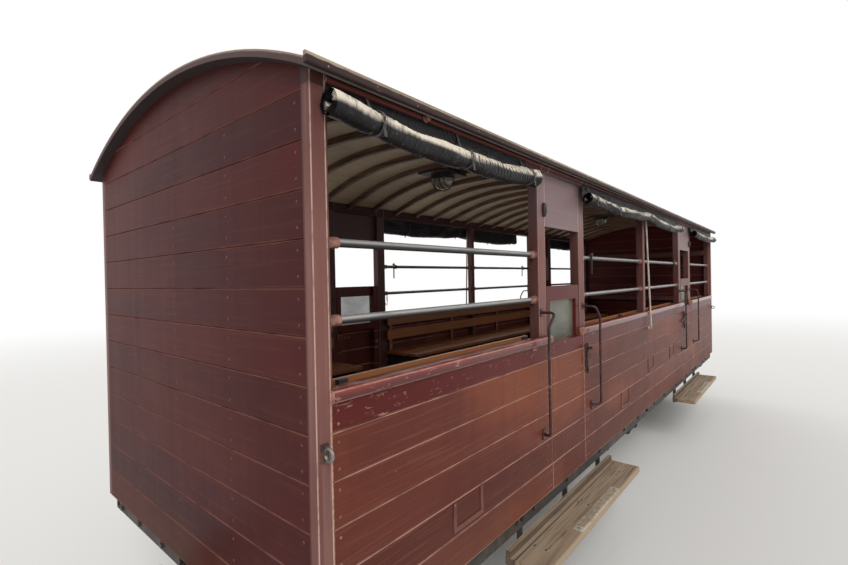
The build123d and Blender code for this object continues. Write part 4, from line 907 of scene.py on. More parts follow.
@dataclass(frozen=True)
class Galvanised(Finish):
    """Zinc pipe with spangle and dull patches, lighter on top and dark underneath as painted highlight and
    shade, with polish; the end collars are rusty.
    """

    zinc: RGB = srgb(214, 210, 204)
    dull: RGB = srgb(104, 102, 102)
    # Dark colour of the painted shade under the pipe.
    under: RGB = srgb(58, 56, 58)
    rust: RGB = srgb(150, 98, 84)
    rust_dark: RGB = srgb(110, 74, 60)
    pipe_radius: float = 0.0155

    def build(self) -> bpy.types.Material:
        """Makes the material.

        Returns:
            The material.
        """
        g = Graph(self.name)
        spangle = g.cells((34.0, 150.0, 150.0))
        broad = g.noise((5.0, 30.0, 30.0), 4.0, 0.6, 0.5)
        # Painted highlight and shade: lighter on top, with polish, and dark underneath.
        polish_and_top_highlight = g.up.rise(-0.35, 0.55) * (0.55 + 0.45 * broad.rise(0.36, 0.6))
        colour = g.mix(polish_and_top_highlight, self.under, g.mix(broad.rise(0.38, 0.66) * 0.7, self.zinc, self.dull))
        low, high = COACH.rail_zs
        past = (self.pipe_radius, self.pipe_radius + 0.001)
        over = abs(abs(g.y) - COACH.rail_y).rise(*past)
        upper = abs(g.z - low).least(abs(g.z - high)).rise(*past)
        fine = g.noise((50.0, 50.0, 50.0), 5.0, 0.65)
        faces = tuple(x for x, way in COACH.bays[:3])
        ends = g.lines(abs(g.x), faces, 0.06).most(abs(g.x).pulse(COACH.centre_post, 0.05))
        rust = over.most(upper).most(ends * fine.rise(0.40, 0.56)) * (0.65 + 0.35 * fine)
        rust = rust.most(fine.rise(0.68, 0.76) * 0.5).least(1.0)
        colour = g.mix(rust, colour, g.mix(broad.rise(0.4, 0.6), self.rust, self.rust_dark))
        rough = 0.36 + spangle * 0.08 + rust * 0.35
        return g.surface(colour, rough, Metallic=(1.0 - rust) * 0.6, Normal=g.bump(fine, 0.0003))


@dataclass(frozen=True)
class RodPaint(Finish):
    """Dark paint on small iron, rubbed to bare steel where hands and straps touch it."""

    paint: RGB = srgb(58, 34, 33)
    paint_dark: RGB = srgb(38, 26, 27)
    iron: RGB = srgb(50, 42, 40)
    bare: RGB = srgb(168, 152, 142)
    rust: RGB = srgb(118, 72, 54)
    rubbed_low: float = 1.15
    rubbed_high: float = 1.60
    plain_above: float = 9.0

    def build(self) -> bpy.types.Material:
        """Makes the material.

        Returns:
            The material.
        """
        g = Graph(self.name)
        fine = g.noise((60.0, 60.0, 30.0), 5.0, 0.62)
        broad = g.noise((6.0, 6.0, 4.0), 4.0, 0.6)
        colour = g.mix(broad.rise(0.4, 0.66) * 0.6, self.paint, self.paint_dark)
        hand = g.z.rise(self.rubbed_low, self.rubbed_low + 0.2)
        hand = hand * g.z.rise(self.rubbed_high, self.rubbed_high - 0.2)
        bare = (hand * fine.rise(0.54, 0.70) * 0.7).most(fine.rise(0.68, 0.76) * 0.6)
        iron = g.z.rise(self.plain_above - 0.002, self.plain_above + 0.002)
        colour = g.mix(iron * 0.9, colour, self.iron)
        colour = g.mix(bare * 0.8, colour, self.bare)
        colour = g.mix(broad.rise(0.52, 0.70) * fine.rise(0.45, 0.6) * 0.6, colour, self.rust)
        metallic = (bare * 0.7).least(1.0)
        return g.surface(
            colour, 0.46 + fine * 0.2, Metallic=metallic, Normal=g.bump(fine, 0.0004), Specular_IOR_Level=0.4)


@dataclass(frozen=True)
class LampFinish(Finish):
    """A dark plate, rim and cage round a milky glass."""

    centre: Triple = (-COACH.lamp_x, 0.0, 2.728)
    glass: RGB = srgb(150, 144, 130)
    dust: RGB = srgb(150, 140, 118)
    metal: RGB = srgb(42, 36, 34)
    rust: RGB = srgb(104, 74, 58)
    glass_radius: float = 0.085

    def build(self) -> bpy.types.Material:
        """Makes the material.

        Returns:
            The material.
        """
        g = Graph(self.name)
        mirrored = g.node("ShaderNodeCombineXYZ", {}, {"X": -abs(g.x), "Y": g.y, "Z": g.z})
        from_centre = g.node(
            "ShaderNodeVectorMath", {"operation": "DISTANCE"}, {0: mirrored, 1: self.centre}, "Value")
        fine = g.noise((60.0, 60.0, 60.0), 4.0, 0.6)
        inside = from_centre.rise(self.glass_radius + 0.0005, self.glass_radius - 0.0005)
        inside = inside * g.z.rise(self.centre[2] + 0.0005, self.centre[2] - 0.0005)
        metal = g.mix(fine.rise(0.5, 0.72) * 0.6, self.metal, self.rust)
        dusty = g.mix(fine.rise(0.4, 0.75) * 0.35, self.glass, self.dust)
        colour = g.mix(inside, metal, dusty)
        rough = 0.52 - inside * 0.36 + fine * 0.1
        normal = g.bump(fine * (1.0 - inside), 0.0006)
        return g.surface(colour, rough, Normal=normal, Coat_Weight=inside * 0.5)


@dataclass(frozen=True)
class Pane(Finish):
    """A dusty, scratched pane that daylight half shows through."""

    haze: RGB = srgb(128, 130, 114)
    clear: RGB = srgb(98, 102, 90)
    least: float = 0.42

    def build(self) -> bpy.types.Material:
        """Makes the material.

        Returns:
            The material.
        """
        g = Graph(self.name)
        cloud = g.noise((2.2, 2.2, 3.0), 3.0, 0.5, 0.3)
        slant = g.x * 3.0 + g.z * 5.5 + g.noise((2.0, 2.0, 2.0)) * 3.0
        scratch = abs(slant % 1.0 - 0.5).rise(0.482, 0.494)
        colour = g.mix(cloud.rise(0.30, 0.70), self.clear, self.haze)
        hidden = cloud.rise(0.30, 0.72) * 0.20 + scratch * 0.12 + self.least
        return g.surface(colour, 0.14 + cloud * 0.1, Alpha=hidden)


@dataclass(frozen=True)
class Canvas(Finish):
    """Coated dark canvas, creased and dusty, with a cream painted highlight along the top of the roll and
    painted shade in the troughs of its puckers.
    """

    dark: RGB = srgb(20, 18, 20)
    mid: RGB = srgb(40, 36, 39)
    # Cream of the painted highlight and of the dust specks.
    bleached: RGB = srgb(236, 224, 204)
    fresh_to: float = -2.2
    smooth_to: float = -3.35
    pucker_pitch: float = 0.025

    def build(self) -> bpy.types.Material:
        """Makes the material.

        Returns:
            The material.
        """
        g = Graph(self.name)
        weave = g.noise((420.0, 420.0, 420.0), 2.0, 0.5)
        crease = g.noise((58.0, 22.0, 16.0), 4.0, 0.6, 1.1)
        broad = g.noise((3.4, 7.0, 7.0), 4.0, 0.6, 0.6)
        colour = g.mix(crease.rise(0.42, 0.70) * 0.8, self.dark, self.mid)
        outer = abs(g.y).rise(COACH.half_width + 0.018, COACH.half_width + 0.036)
        # Painted highlight: cream on the outer, upward-facing canvas and on the crests of its creases.
        facing = g.up.rise(-0.16, 0.36) * outer
        lean = g.noise((3.2, 9.0, 9.0), 3.0, 0.5)
        phase = g.x / self.pucker_pitch + lean * 5.0 + crease * 1.2 + g.z * 14.0
        ridge = 1.0 - abs(phase % 1.0 - 0.5) * 2.0
        gather = g.x.rise(self.smooth_to, self.smooth_to + 0.5) * lean.rise(0.30, 0.50)
        ridge = ridge * gather + (1.0 - gather) * 0.6
        # More painted highlight on the front blind.
        more_highlight = g.x.rise(self.fresh_to + 0.1, self.fresh_to - 0.1)
        lit = facing * (crease * 0.45 + broad * 0.35 + ridge * 0.40 + more_highlight * 0.07).rise(0.50, 0.70)
        # Painted shade in the troughs of the puckers.
        colour = g.mix(ridge.rise(0.40, 0.10) * 0.8, colour, self.dark)
        colour = g.mix(lit * 0.95, colour, self.bleached)
        speck = g.noise((90.0, 60.0, 60.0), 3.0, 0.6).rise(0.64, 0.74) * 0.2
        colour = g.mix(speck * outer, colour, self.bleached)
        rough = 0.37 + weave * 0.12 + lit * 0.25
        normal = g.bump(crease, 0.0026, g.bump(weave, 0.0003, g.bump(ridge, 0.0050)))
        return g.surface(colour, rough, Normal=normal, Specular_IOR_Level=0.28)


@dataclass(frozen=True)
class Webbing(Finish):
    """Woven strap: ribs across the band, frayed pale threads."""

    dark: RGB = srgb(38, 36, 34)
    thread: RGB = srgb(104, 98, 88)

    def build(self) -> bpy.types.Material:
        """Makes the material.

        Returns:
            The material.
        """
        g = Graph(self.name)
        ribs = abs((g.z * 420.0 + g.y * 420.0) % 1.0 - 0.5) * 2.0
        fray = g.noise((260.0, 90.0, 90.0), 4.0, 0.6)
        colour = g.mix(ribs * 0.4 + fray.rise(0.55, 0.7) * 0.5, self.dark, self.thread)
        return g.surface(colour, 0.82, Normal=g.bump(ribs, 0.0006), Sheen_Weight=0.2)


@dataclass(frozen=True)
class SmallSteel(Finish):
    """Bolts, screws, buckles and treads: dull plated steel with rust in the corners."""

    steel: RGB = srgb(150, 146, 140)
    dull: RGB = srgb(104, 98, 92)
    rust: RGB = srgb(116, 74, 52)
    rusted: float = 0.4
    metallic: float = 0.8
    scratch: Triple = (30.0, 30.0, 30.0)

    def build(self) -> bpy.types.Material:
        """Makes the material.

        Returns:
            The material.
        """
        g = Graph(self.name)
        fine = g.noise((90.0, 90.0, 90.0), 4.0, 0.62)
        mark = g.noise(self.scratch, 4.0, 0.6)
        colour = g.mix(mark.rise(0.38, 0.64), self.steel, self.dull)
        patch = (fine * 0.5 + mark * 0.5).rise(0.60 - 0.14 * self.rusted, 0.72 - 0.10 * self.rusted)
        rust = patch * self.rusted
        colour = g.mix(rust, colour, self.rust)
        rough = 0.38 + mark * 0.2 + rust * 0.3
        return g.surface(colour, rough, Metallic=(1.0 - rust) * self.metallic, Normal=g.bump(fine, 0.0004))


class Slot(Enum):
    """The record's material slots, named for the kinds of finish."""

    TIMBER = "painted_timber"
    STEEL = "painted_steel"
    ROD = "painted_steel_rod"
    BLACK = "running_gear_black"
    CAST = "cast_steel"
    FLOOR = "floor_timber"
    STRIP = "edge_strip"
    PIPE = "galvanised_pipe"
    BENCH = "varnished_timber"
    LAMP = "lamp_bowl"
    CANVAS = "canvas"
    STEP = "weathered_timber"


class Palette:
    """Every finish of the coach, built once."""

    def __init__(self) -> None:
        """Builds the finishes."""
        doorway = (COACH.opening_out, COACH.opening_in)
        posts = doorway + (COACH.opening_out + COACH.door_post, COACH.opening_in - COACH.door_post)
        corner = (COACH.corner_inner, COACH.corner_outer)
        self.boards = BoardPaint("board_paint", edges=doorway + corner[:1]).build()
        # The end boards take a darker maroon than the sides, because they are less worn by weather and partly
        # as painted shade.
        self.end_boards = BoardPaint(
            "end_board_paint", plank=srgb(78, 31, 29), plank_dark=srgb(58, 23, 25), warm=srgb(86, 38, 32),
            worn=srgb(132, 88, 78), shine=0.08, has_top_board=False).build()
        self.posts = PostPaint("post_paint", edges=posts + (COACH.centre_post,) + corner).build()
        self.end_posts = PostPaint("end_post_paint", edges=(corner[0] + 0.0015, corner[1])).build()
        self.roof = RoofPaint("roof_paint").build()
        self.ribs = Timber("rib_timber", srgb(130, 104, 84), srgb(92, 68, 55), (60.0, 2.2, 60.0), 0.5).build()
        self.strip = EdgeStrip("edge_strip_timber").build()
        self.floor = Timber(
            "floor_timber", srgb(142, 118, 92), srgb(92, 72, 56), (2.2, 42.0, 42.0), 0.72, 0.4,
            board_pitch=0.14646).build()
        # The step takes painted shade at the upstand and a painted highlight along its front edge.
        self.step = Timber(
            "step_timber", srgb(142, 118, 94), srgb(86, 66, 53), (2.0, 40.0, 40.0), 0.78, 0.45,
            srgb(176, 156, 130), corner_y=1.067, edge_y=1.236).build()
        self.bench = SlatBench("bench_slats").build()
        self.black = BlackSteel("underframe_black").build()
        self.gear = BlackSteel("bogie_black", base=srgb(48, 43, 40), rusted=0.8).build()
        self.cast = CastSteel("coupler_cast").build()
        self.pipe = Galvanised("galvanised").build()
        self.rod = RodPaint("rod_paint").build()
        self.fittings = RodPaint("fitting_paint", srgb(112, 66, 58), plain_above=1.27).build()
        self.hook = SmallSteel(
            "hook_iron", srgb(62, 54, 50), srgb(36, 32, 32), srgb(98, 64, 50), 0.5, 0.3).build()
        self.sleeve = SmallSteel(
            "rail_sleeve_rust", srgb(164, 116, 102), srgb(118, 76, 66), srgb(96, 62, 52), 0.6, 0.1).build()
        self.lamp = LampFinish("lamp_metal").build()
        self.pane = Pane("door_pane").build()
        self.canvas = Canvas("canvas").build()
        self.webbing = Webbing("webbing").build()
        self.bolt = SmallSteel("plain_bolts").build()
        self.black_bolt = SmallSteel(
            "black_bolts", srgb(70, 64, 60), srgb(46, 42, 40), srgb(104, 66, 46), 0.7, 0.3).build()
        self.paint_screw = SmallSteel(
            "painted_screws", srgb(150, 100, 90), srgb(112, 62, 54), srgb(88, 50, 42), 0.5, 0.15).build()
        # The end screws are darkened to match, partly as painted shade.
        self.end_screw = SmallSteel(
            "end_wall_screws", srgb(94, 50, 46), srgb(68, 32, 32), srgb(74, 42, 36), 0.4, 0.1).build()
        self.tread = SmallSteel(
            "tread_plate", srgb(214, 206, 190), srgb(184, 174, 158), srgb(142, 112, 90), 0.08, 0.4).build()
        self.grit = SmallSteel(
            "tread_grit", srgb(178, 164, 140), srgb(150, 138, 118), srgb(112, 84, 62), 0.2, 0.1).build()


# Mesh building


class Mesher:
    """Collects the mesh of one piece, in the coach's frame."""

    sunk: float = 0.0006

    def __init__(self) -> None:
        """Starts an empty mesh."""
        self.mesh = bmesh.new()

    def skin(self, rings: list[list[Vector]], cap_start: bool = False, cap_end: bool = True) -> None:
        """Joins closed rings of equal length by quads.

        Args:
            rings: The rings, each a list of points.
            cap_start: Whether the first ring gets a face.
            cap_end: Whether the last one does.
        """
        made = [[self.mesh.verts.new(point) for point in ring] for ring in rings]
        for lower, upper in zip(made, made[1:]):
            for index in range(len(lower)):
                after = (index + 1) % len(lower)
                self.mesh.faces.new((lower[index], lower[after], upper[after], upper[index]))
        if cap_start:
            self.mesh.faces.new(made[0][::-1])
        if cap_end:
            self.mesh.faces.new(made[-1])

    def turned(self, at: Vector, way: Vector, profile: tuple[tuple[float, float], ...], sides: int) -> None:
        """Adds a turned form that stands on a surface.

        Args:
            at: The middle of its foot.
            way: The direction that it stands in.
            profile: Radius and height of each ring.
            sides: How many sides it has.
        """
        turn = UP.rotation_difference(way.normalized()).to_matrix()
        angles = [2 * math.pi * (side + 0.5) / sides for side in range(sides)]
        self.skin([[at + turn @ Vector((radius * math.cos(a), radius * math.sin(a), height)) for a in angles]
                   for radius, height in profile])

    def hex_bolt(self, at: Vector, way: Vector, across: float) -> None:
        """Adds a hexagon head on a washer.

        Args:
            at: Where it stands on the surface.
            way: The surface's normal.
            across: Width across the corners.
        """
        half = across / 2
        wide = half * 1.35
        washer = ((wide, -self.sunk), (wide, half * 0.2), (half * 1.2, half * 0.26), (half, half * 0.27))
        self.turned(at, way, washer, 14)
        self.turned(at, way, ((half, 0.0), (half, half * 0.86), (half * 0.84, half * 1.02)), 6)

    def stud(self, at: Vector, way: Vector, across: float, length: float) -> None:
        """Adds a nut on a washer with the end of its bolt standing out of it.

        Args:
            at: Where it stands on the surface.
            way: The surface's normal.
            across: Width across the nut's corners.
            length: How far the bolt stands out.
        """
        self.hex_bolt(at, way, across)
        half = across / 2
        bolt = ((half * 0.5, half * 0.9), (half * 0.5, length - half * 0.12), (half * 0.38, length))
        self.turned(at, way, bolt, 10)

    def dome(self, at: Vector, way: Vector, radius: float, tall: float = 0.5, sides: int = 10) -> None:
        """Adds a round head of this radius, as tall as this share of it, with this many sides."""
        profile = tuple((radius * math.cos(a), radius * tall * math.sin(a)) for a in (-0.12, 0.25, 0.7, 1.15))
        self.turned(at, way, profile, sides)

    def tube(self, line: list[Vector], radius: float, sides: int = 8, closed: bool = False) -> None:
        """Adds a round bar along a line of points.

        Args:
            line: The points.
            radius: The bar's radius.
            sides: How many sides it has.
            closed: Whether the line is a loop.
        """
        rings, last = [], len(line) - 1
        side = None
        for index, point in enumerate(line):
            before = line[index - 1] if index or closed else point
            after = line[(index + 1) % len(line)] if index < last or closed else point
            along = (after - before).normalized()
            side = along.orthogonal() if side is None else side - along * side.dot(along)
            side.normalize()
            rings.append(oval(point, side * radius, along.cross(side) * radius, sides))
        if closed:
            rings.append(rings[0])
        self.skin(rings, not closed, not closed)

    def ribbon(self, line: list[Vector], across: Vector, width: float, thick: float) -> None:
        """Adds a flat band along a line of points.

        Args:
            line: The points of its middle.
            across: The direction of its width.
            width: Its width.
            thick: Its thickness.
        """
        rings = []
        for index, point in enumerate(line):
            along = (line[min(index + 1, len(line) - 1)] - line[max(index - 1, 0)]).normalized()
            out = along.cross(across).normalized() * thick / 2
            half = across * width / 2
            soft = half * 0.9
            rings.append([point - half, point - soft + out, point + soft + out,
                          point + half, point + soft - out, point - soft - out])
        self.skin(rings, True, True)

    def slab(self, low: Vector, high: Vector, bevel: float, segments: int = 2) -> None:
        """Adds a block with rounded edges.

        Args:
            low: Its lowest corner.
            high: Its highest corner.
            bevel: The rounding.
            segments: How many steps the rounding has.
        """
        block = bmesh.new()
        size = high - low
        place = Matrix.Translation((low + high) / 2) @ Matrix.Diagonal((*size, 1.0))
        bmesh.ops.create_cube(block, size=1.0, matrix=place)
        bmesh.ops.bevel(
            block, geom=block.edges[:], offset=bevel, segments=segments, affect="EDGES", profile=0.6)
        self.take(block)

    def take(self, other: bmesh.types.BMesh) -> None:
        """Moves another mesh into this one.

        Args:
            other: The mesh, which is freed.
        """
        passed = bpy.data.meshes.new("passed")
        other.to_mesh(passed)
        other.free()
        self.mesh.from_mesh(passed)
        bpy.data.meshes.remove(passed)

    def finish(self, name: str, material: bpy.types.Material, body: str, slot: Slot,
               round_at: float = 35.0) -> bpy.types.Object:
        """Makes the object and hangs it on its body.

        Args:
            name: The piece's name.
            material: Its finish.
            body: The CAD body that it rides on.
            slot: The record's slot for its finish. It is not used.
            round_at: Edges below this angle, in degrees, are shaded smooth.

        Returns:
            The object.
        """
        bmesh.ops.recalc_face_normals(self.mesh, faces=self.mesh.faces[:])
        data = bpy.data.meshes.new(name)
        self.mesh.to_mesh(data)
        self.mesh.free()
        data.shade_smooth()
        data.set_sharp_from_angle(angle=math.radians(round_at))
        data.materials.append(material)
        piece = bpy.data.objects.new(name, data)
        bpy.context.scene.collection.objects.link(piece)
        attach(piece, body)
        LOG.info("%s: %d faces on %s", name, len(data.polygons), body)
        return piece


# Dressing the CAD frame


class Dresser:
    """A group of finishes or pieces that the coach is dressed with."""

    def __init__(self, palette: Palette) -> None:
        """Keeps the finishes."""
        self.palette = palette

    def build(self) -> None:
        """Makes the group."""
        raise NotImplementedError


class FrameDress(Dresser):
    """Gives every carried-over CAD node its finish."""

    def build(self) -> None:
        """Assigns each node the finish that the start of its name stands for."""
        wear = self.palette
        by_start: tuple[tuple[str, bpy.types.Material], ...] = (
            ("side_panel", wear.boards), ("sill_board", wear.boards), ("door", wear.boards),
            ("end_wall", wear.end_boards), ("side_frame", wear.posts), ("end_frame", wear.end_posts),
            ("roof_skin", wear.roof), ("roof_edge", wear.strip), ("roof_carlines", wear.ribs),
            ("ceiling_lamps", wear.lamp), ("side_fittings", wear.fittings), ("grab_handles", wear.rod),
            ("guard_rails", wear.pipe), ("bench", wear.bench), ("floor", wear.floor), ("step", wear.step),
            ("underframe", wear.black), ("body_bolsters", wear.black), ("draft_gear", wear.black),
            ("truss_rods", wear.black), ("brake_cylinder", wear.black), ("bogie", wear.gear),
            ("axleboxes", wear.gear), ("brake_gear", wear.gear), ("coupler", wear.cast),
            ("blind", wear.canvas),
        )
        for name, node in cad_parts.items():
            if name.startswith("wheelset"):
                low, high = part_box(name)
                material = WheelSteel(name + "_steel", axle_x=(low.x + high.x) / 2).build()
            else:
                material = next(found for start, found in by_start if name.startswith(start))
            for index in range(len(node.data.materials)):
                node.data.materials[index] = material
        LOG.info("finishes on %d frame nodes", len(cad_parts))


# Rolled blinds


@dataclass(frozen=True)
class Roll:
    """One rolled blind, from x0 to x1. Its sag has rows of x and height, its creases of x and strength."""

    place: str
    x0: float
    x1: float
    radius: float
    straps: tuple[float, ...]
    sag: tuple[tuple[float, float], ...]
    creases: tuple[tuple[float, float], ...]


def rumple(x: float, y: float, z: float) -> float:
    """Smooth noise from -1 to 1 at a point."""
    return noise.noise(Vector((x, y, z)))


def eased(table: tuple[tuple[float, float], ...], x: float) -> float:
    """The value at x, eased between the rows of a table.

    Args:
        table: Rows of x and value.
        x: Where along the coach.

    Returns:
        The value.
    """
    for (xa, low), (xb, high) in zip(table, table[1:]):
        if x <= xb:
            share = max(0.0, (x - xa) / (xb - xa))
            share = share * share * (3 - 2 * share)
            return low + (high - low) * share
    return table[-1][1]


class Blind:
    """One canvas blind, rolled up under the fascia and held by straps."""

    drop: float = 0.96
    flap_top: float = 2.566
    flap_rows: int = 9
    centre_y: float = 1.088
    centre_z: float = 2.460
    core: float = 0.016
    step_x: float = 0.0052
    turn_steps: int = 17
    ridge_pitch: float = 0.025
    ridge_height: float = 0.0024
    flute: float = 0.0017
    crumple: float = 0.0016
    swell: float = 0.0050
    squeeze: float = 0.005
    squeeze_reach: float = 0.030
    crest: float = 0.005
    crest_at: float = 4.55
    crest_reach: float = 0.42
    thinnest: float = 0.007
    strap_width: float = 0.015
    strap_steps: int = 26
    strap_turn: float = 298.0
    tail: tuple[Triple, ...] = ((0.0, 0.0, 0.0), (0.001, 0.004, -0.012), (0.002, 0.005, -0.030))
    tail_row: int = 14
    buckle_rows: tuple[int, int] = (11, 13)
    buckle_half: float = 0.011

    def __init__(self, roll: Roll, side: Side, palette: Palette) -> None:
        """Keeps its place and finishes, and seeds its folds.

        Args:
            roll: Its sizes.
            side: Its side of the coach.
            palette: The finishes.
        """
        self.roll = roll
        self.side = side
        self.palette = palette
        self.seed = side.value * 11.3 + roll.x0 * 3.7

    def build(self) -> None:
        """Makes the canvas with its straps and buckles."""
        roll, side = self.roll, self.side
        mean = (roll.radius + self.core) / 2
        turns = (self.drop - (self.flap_top - self.centre_z)) / (2 * math.pi * mean)
        around = round(turns * self.turn_steps)
        along = round((roll.x1 - roll.x0) / self.step_x)
        sheet = Mesher()
        grid = []
        for column in range(along + 1):
            x = roll.x0 + (roll.x1 - roll.x0) * column / along
            ragged = 0.006 * rumple(column * 0.35, 0, self.seed)
            line = self._flap(self._point(x, 0.0, roll.radius))
            for row in range(around + 1):
                share = row / around
                radius = roll.radius + (self.core - roll.radius) * share
                line.append(self._point(x + ragged * share, turns * 2 * math.pi * share, radius))
            grid.append([sheet.mesh.verts.new(point) for point in line])
        for left, right in zip(grid, grid[1:]):
            for row in range(len(left) - 1):
                sheet.mesh.faces.new((left[row], right[row], right[row + 1], left[row + 1]))
        name = f"canvas_{roll.place}_{side.word}"
        cloth = sheet.finish(name, self.palette.canvas, "body", Slot.CANVAS, 60.0)
        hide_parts(f"blind_{roll.place}_{side.word}")
        straps = self._straps()
        buckles = self._buckles()

    def _ridge(self, x: float, ring: tuple[float, float]) -> float:
        """The crosswise wrinkles of canvas that was rolled too tight at one end.

        Args:
            x: Where along the coach.
            ring: Sine and cosine of the angle round the roll.

        Returns:
            Their height, in metres.
        """
        drift = rumple(x * 6, ring[0] * 0.8, self.seed + 5) * 2.4
        strength = 0.55 + 0.9 * rumple(x * 3.1, ring[1] * 0.7, self.seed + 9)
        wave = math.sin(2 * math.pi * x / self.ridge_pitch + drift * 2.2 + ring[0] * 1.6)
        return wave * self.ridge_height * max(0.0, strength)

    def _point(self, x: float, turned: float, radius: float) -> Vector:
        """One point of the roll.

        Args:
            x: Where along the coach.
            turned: The angle wound on so far, from the coach's side downwards.
            radius: The winding's radius before folds.

        Returns:
            The point.
        """
        pinch = max(math.exp(-((x - strap) / self.squeeze_reach) ** 2) for strap in self.roll.straps)
        outer = min(1.0, max(0.0, (radius - self.core) / (self.roll.radius - self.core)))
        ring = math.sin(turned), math.cos(turned)
        fold = self._ridge(x, ring) * eased(self.roll.creases, x)
        fold += self.flute * math.sin(turned * 4 + x * 9 + 3 * rumple(x * 2, ring[0], self.seed + 1))
        fold += rumple(x * 70 + ring[1] * 1.9, ring[0] * 1.5, self.seed + 7) * self.crumple
        fold += rumple(x * 7, ring[0] * 1.1 + ring[1], self.seed + 3) * self.swell
        grown = radius - self.squeeze * pinch * outer + fold * (0.35 + 0.65 * outer) * (1 - 0.6 * pinch)
        peak = math.exp(-((turned % (2 * math.pi) - self.crest_at) / self.crest_reach) ** 2)
        grown += self.crest * peak * outer * (0.6 + rumple(x * 5, 0, self.seed))
        grown = max(grown, self.thinnest)
        y = self.centre_y - grown * ring[1]
        z = self.centre_z + eased(self.roll.sag, x) - grown * ring[0] - 0.003 * (1 - pinch) * outer
        return Vector((x, self.side.value * max(y, COACH.half_width + 0.0022), z))

    def _flap(self, first: Vector) -> list[Vector]:
        """The short stretch that hangs from the fascia to the roll.

        Args:
            first: Where the roll takes it up.

        Returns:
            Its points, from the top down.
        """
        wall = COACH.half_width + 0.0024
        x = first.x
        before, after = x - self.roll.x0, self.roll.x1 - x
        drawn = 0.028 * math.exp(-(min(before, after) / 0.03) ** 2) * (1 if before < after else -1)
        top = self.flap_top + 0.0015 * rumple(x * 12, 0, self.seed)
        line = []
        for row in range(self.flap_rows):
            share = row / self.flap_rows
            z = top + (first.z - top) * share
            pleat = 0.5 + 0.5 * math.sin(share * 19 + 2.0 * rumple(x * 2.2, share * 2, self.seed))
            y = wall + (abs(first.y) - wall) * share ** 2 + 0.005 * pleat * math.sin(math.pi * share)
            line.append(Vector((x + drawn * (1 - share), self.side.value * y, z)))
        return line

    def _loop(self, x: float) -> list[Vector]:
        """The line of a strap, from the fascia round the outside of the roll and back to it.

        Args:
            x: Where the strap is along the coach.

        Returns:
            The points.
        """
        way = self.side.value
        near = COACH.half_width + 0.0012
        line = [Vector((x, way * (COACH.half_width + 0.002), self.flap_top + 0.001))]
        centre = Vector((x, way * self.centre_y, self.centre_z + eased(self.roll.sag, x)))
        for step in range(self.strap_steps + 1):
            angle = math.radians(self.strap_turn - step * self.strap_turn / self.strap_steps)
            out = self._point(x, angle, self.roll.radius) - centre
            line.append(centre + out * (1 + 0.0028 / max(out.length, 0.01)))
        line.append(Vector((x, way * near, self.flap_top - 0.02)))
        for point in line:
            point.y = way * max(abs(point.y), near)
        return line

    def _straps(self) -> bpy.types.Object:
        """Makes the webbing straps with their loose tails.

        Returns:
            The piece.
        """
        straps = Mesher()
        for x in self.roll.straps:
            line = self._loop(x)
            straps.ribbon(line, ALONG, self.strap_width, 0.0018)
            tail = [line[self.tail_row] + Vector((dx, self.side.value * dy, dz)) for dx, dy, dz in self.tail]
            straps.ribbon(tail, ALONG, self.strap_width, 0.0016)
        name = f"straps_{self.roll.place}_{self.side.word}"
        return straps.finish(name, self.palette.webbing, "body", Slot.CANVAS, 50.0)

    def _buckles(self) -> bpy.types.Object:
        """Makes the wire buckles of the straps.

        Returns:
            The piece.
        """
        buckles = Mesher()
        wide, tall = self.strap_width / 2 + 0.003, self.buckle_half
        core = Vector((0, self.side.value * self.centre_y, self.centre_z))
        for x in self.roll.straps:
            line = self._loop(x)
            middle, after = (line[row] for row in self.buckle_rows)
            along = (after - middle).normalized()
            out = (middle - core) * Vector((0, 1, 1))
            out.normalize()
            centre = middle + out * 0.0028
            corners = [centre + ALONG * a + along * b
                       for a, b in ((-wide, -tall), (wide, -tall), (wide, tall), (-wide, tall))]
            rounded = []
            for index, corner in enumerate(corners):
                for other in (corners[index - 1], corners[(index + 1) % 4]):
                    rounded.append(corner + (other - corner) * 0.15)
            buckles.tube(rounded, 0.0016, 6, True)
            buckles.tube([centre - along * 0.012, centre + out * 0.001, centre + along * 0.013], 0.0013, 6)
        name = f"buckles_{self.roll.place}_{self.side.word}"
        return buckles.finish(name, self.palette.bolt, "body", Slot.ROD)


class Blinds(Dresser):
    """The six blinds of the coach."""

    rolls: tuple[Roll, ...] = (
        Roll("front", -3.792, -2.412, 0.044, (-3.592, -3.066, -2.50),
             ((-3.79, 0.032), (-3.60, 0.010), (-3.36, -0.010), (-2.79, -0.011), (-2.50, 0.006),
              (-2.41, 0.014)),
             ((-3.79, 0.15), (-3.50, 0.30), (-3.20, 0.7), (-2.90, 1.0), (-2.41, 1.0))),
        Roll("middle", -1.651, 1.309, 0.037, (-1.55, -1.05, -0.13, 0.62, 1.22),
             ((-1.65, 0.002), (-1.40, -0.008), (-0.99, -0.020), (-0.43, -0.002), (-0.10, 0.018),
              (0.28, -0.014), (0.81, -0.022), (1.31, 0.004)),
             ((-1.65, 0.9), (-0.90, 1.0), (-0.30, 0.5), (1.31, 0.6))),
        Roll("rear", 2.129, 3.764, 0.039, (2.26, 2.95, 3.64),
             ((2.13, 0.012), (2.6, -0.010), (3.2, -0.014), (3.76, 0.012)),
             ((2.13, 0.5), (3.76, 0.7))),
    )

    def build(self) -> None:
        """Makes the blinds of both sides."""
        for side in Side:
            for roll in self.rolls:
                Blind(roll, side, self.palette).build()


# Fixings of the body


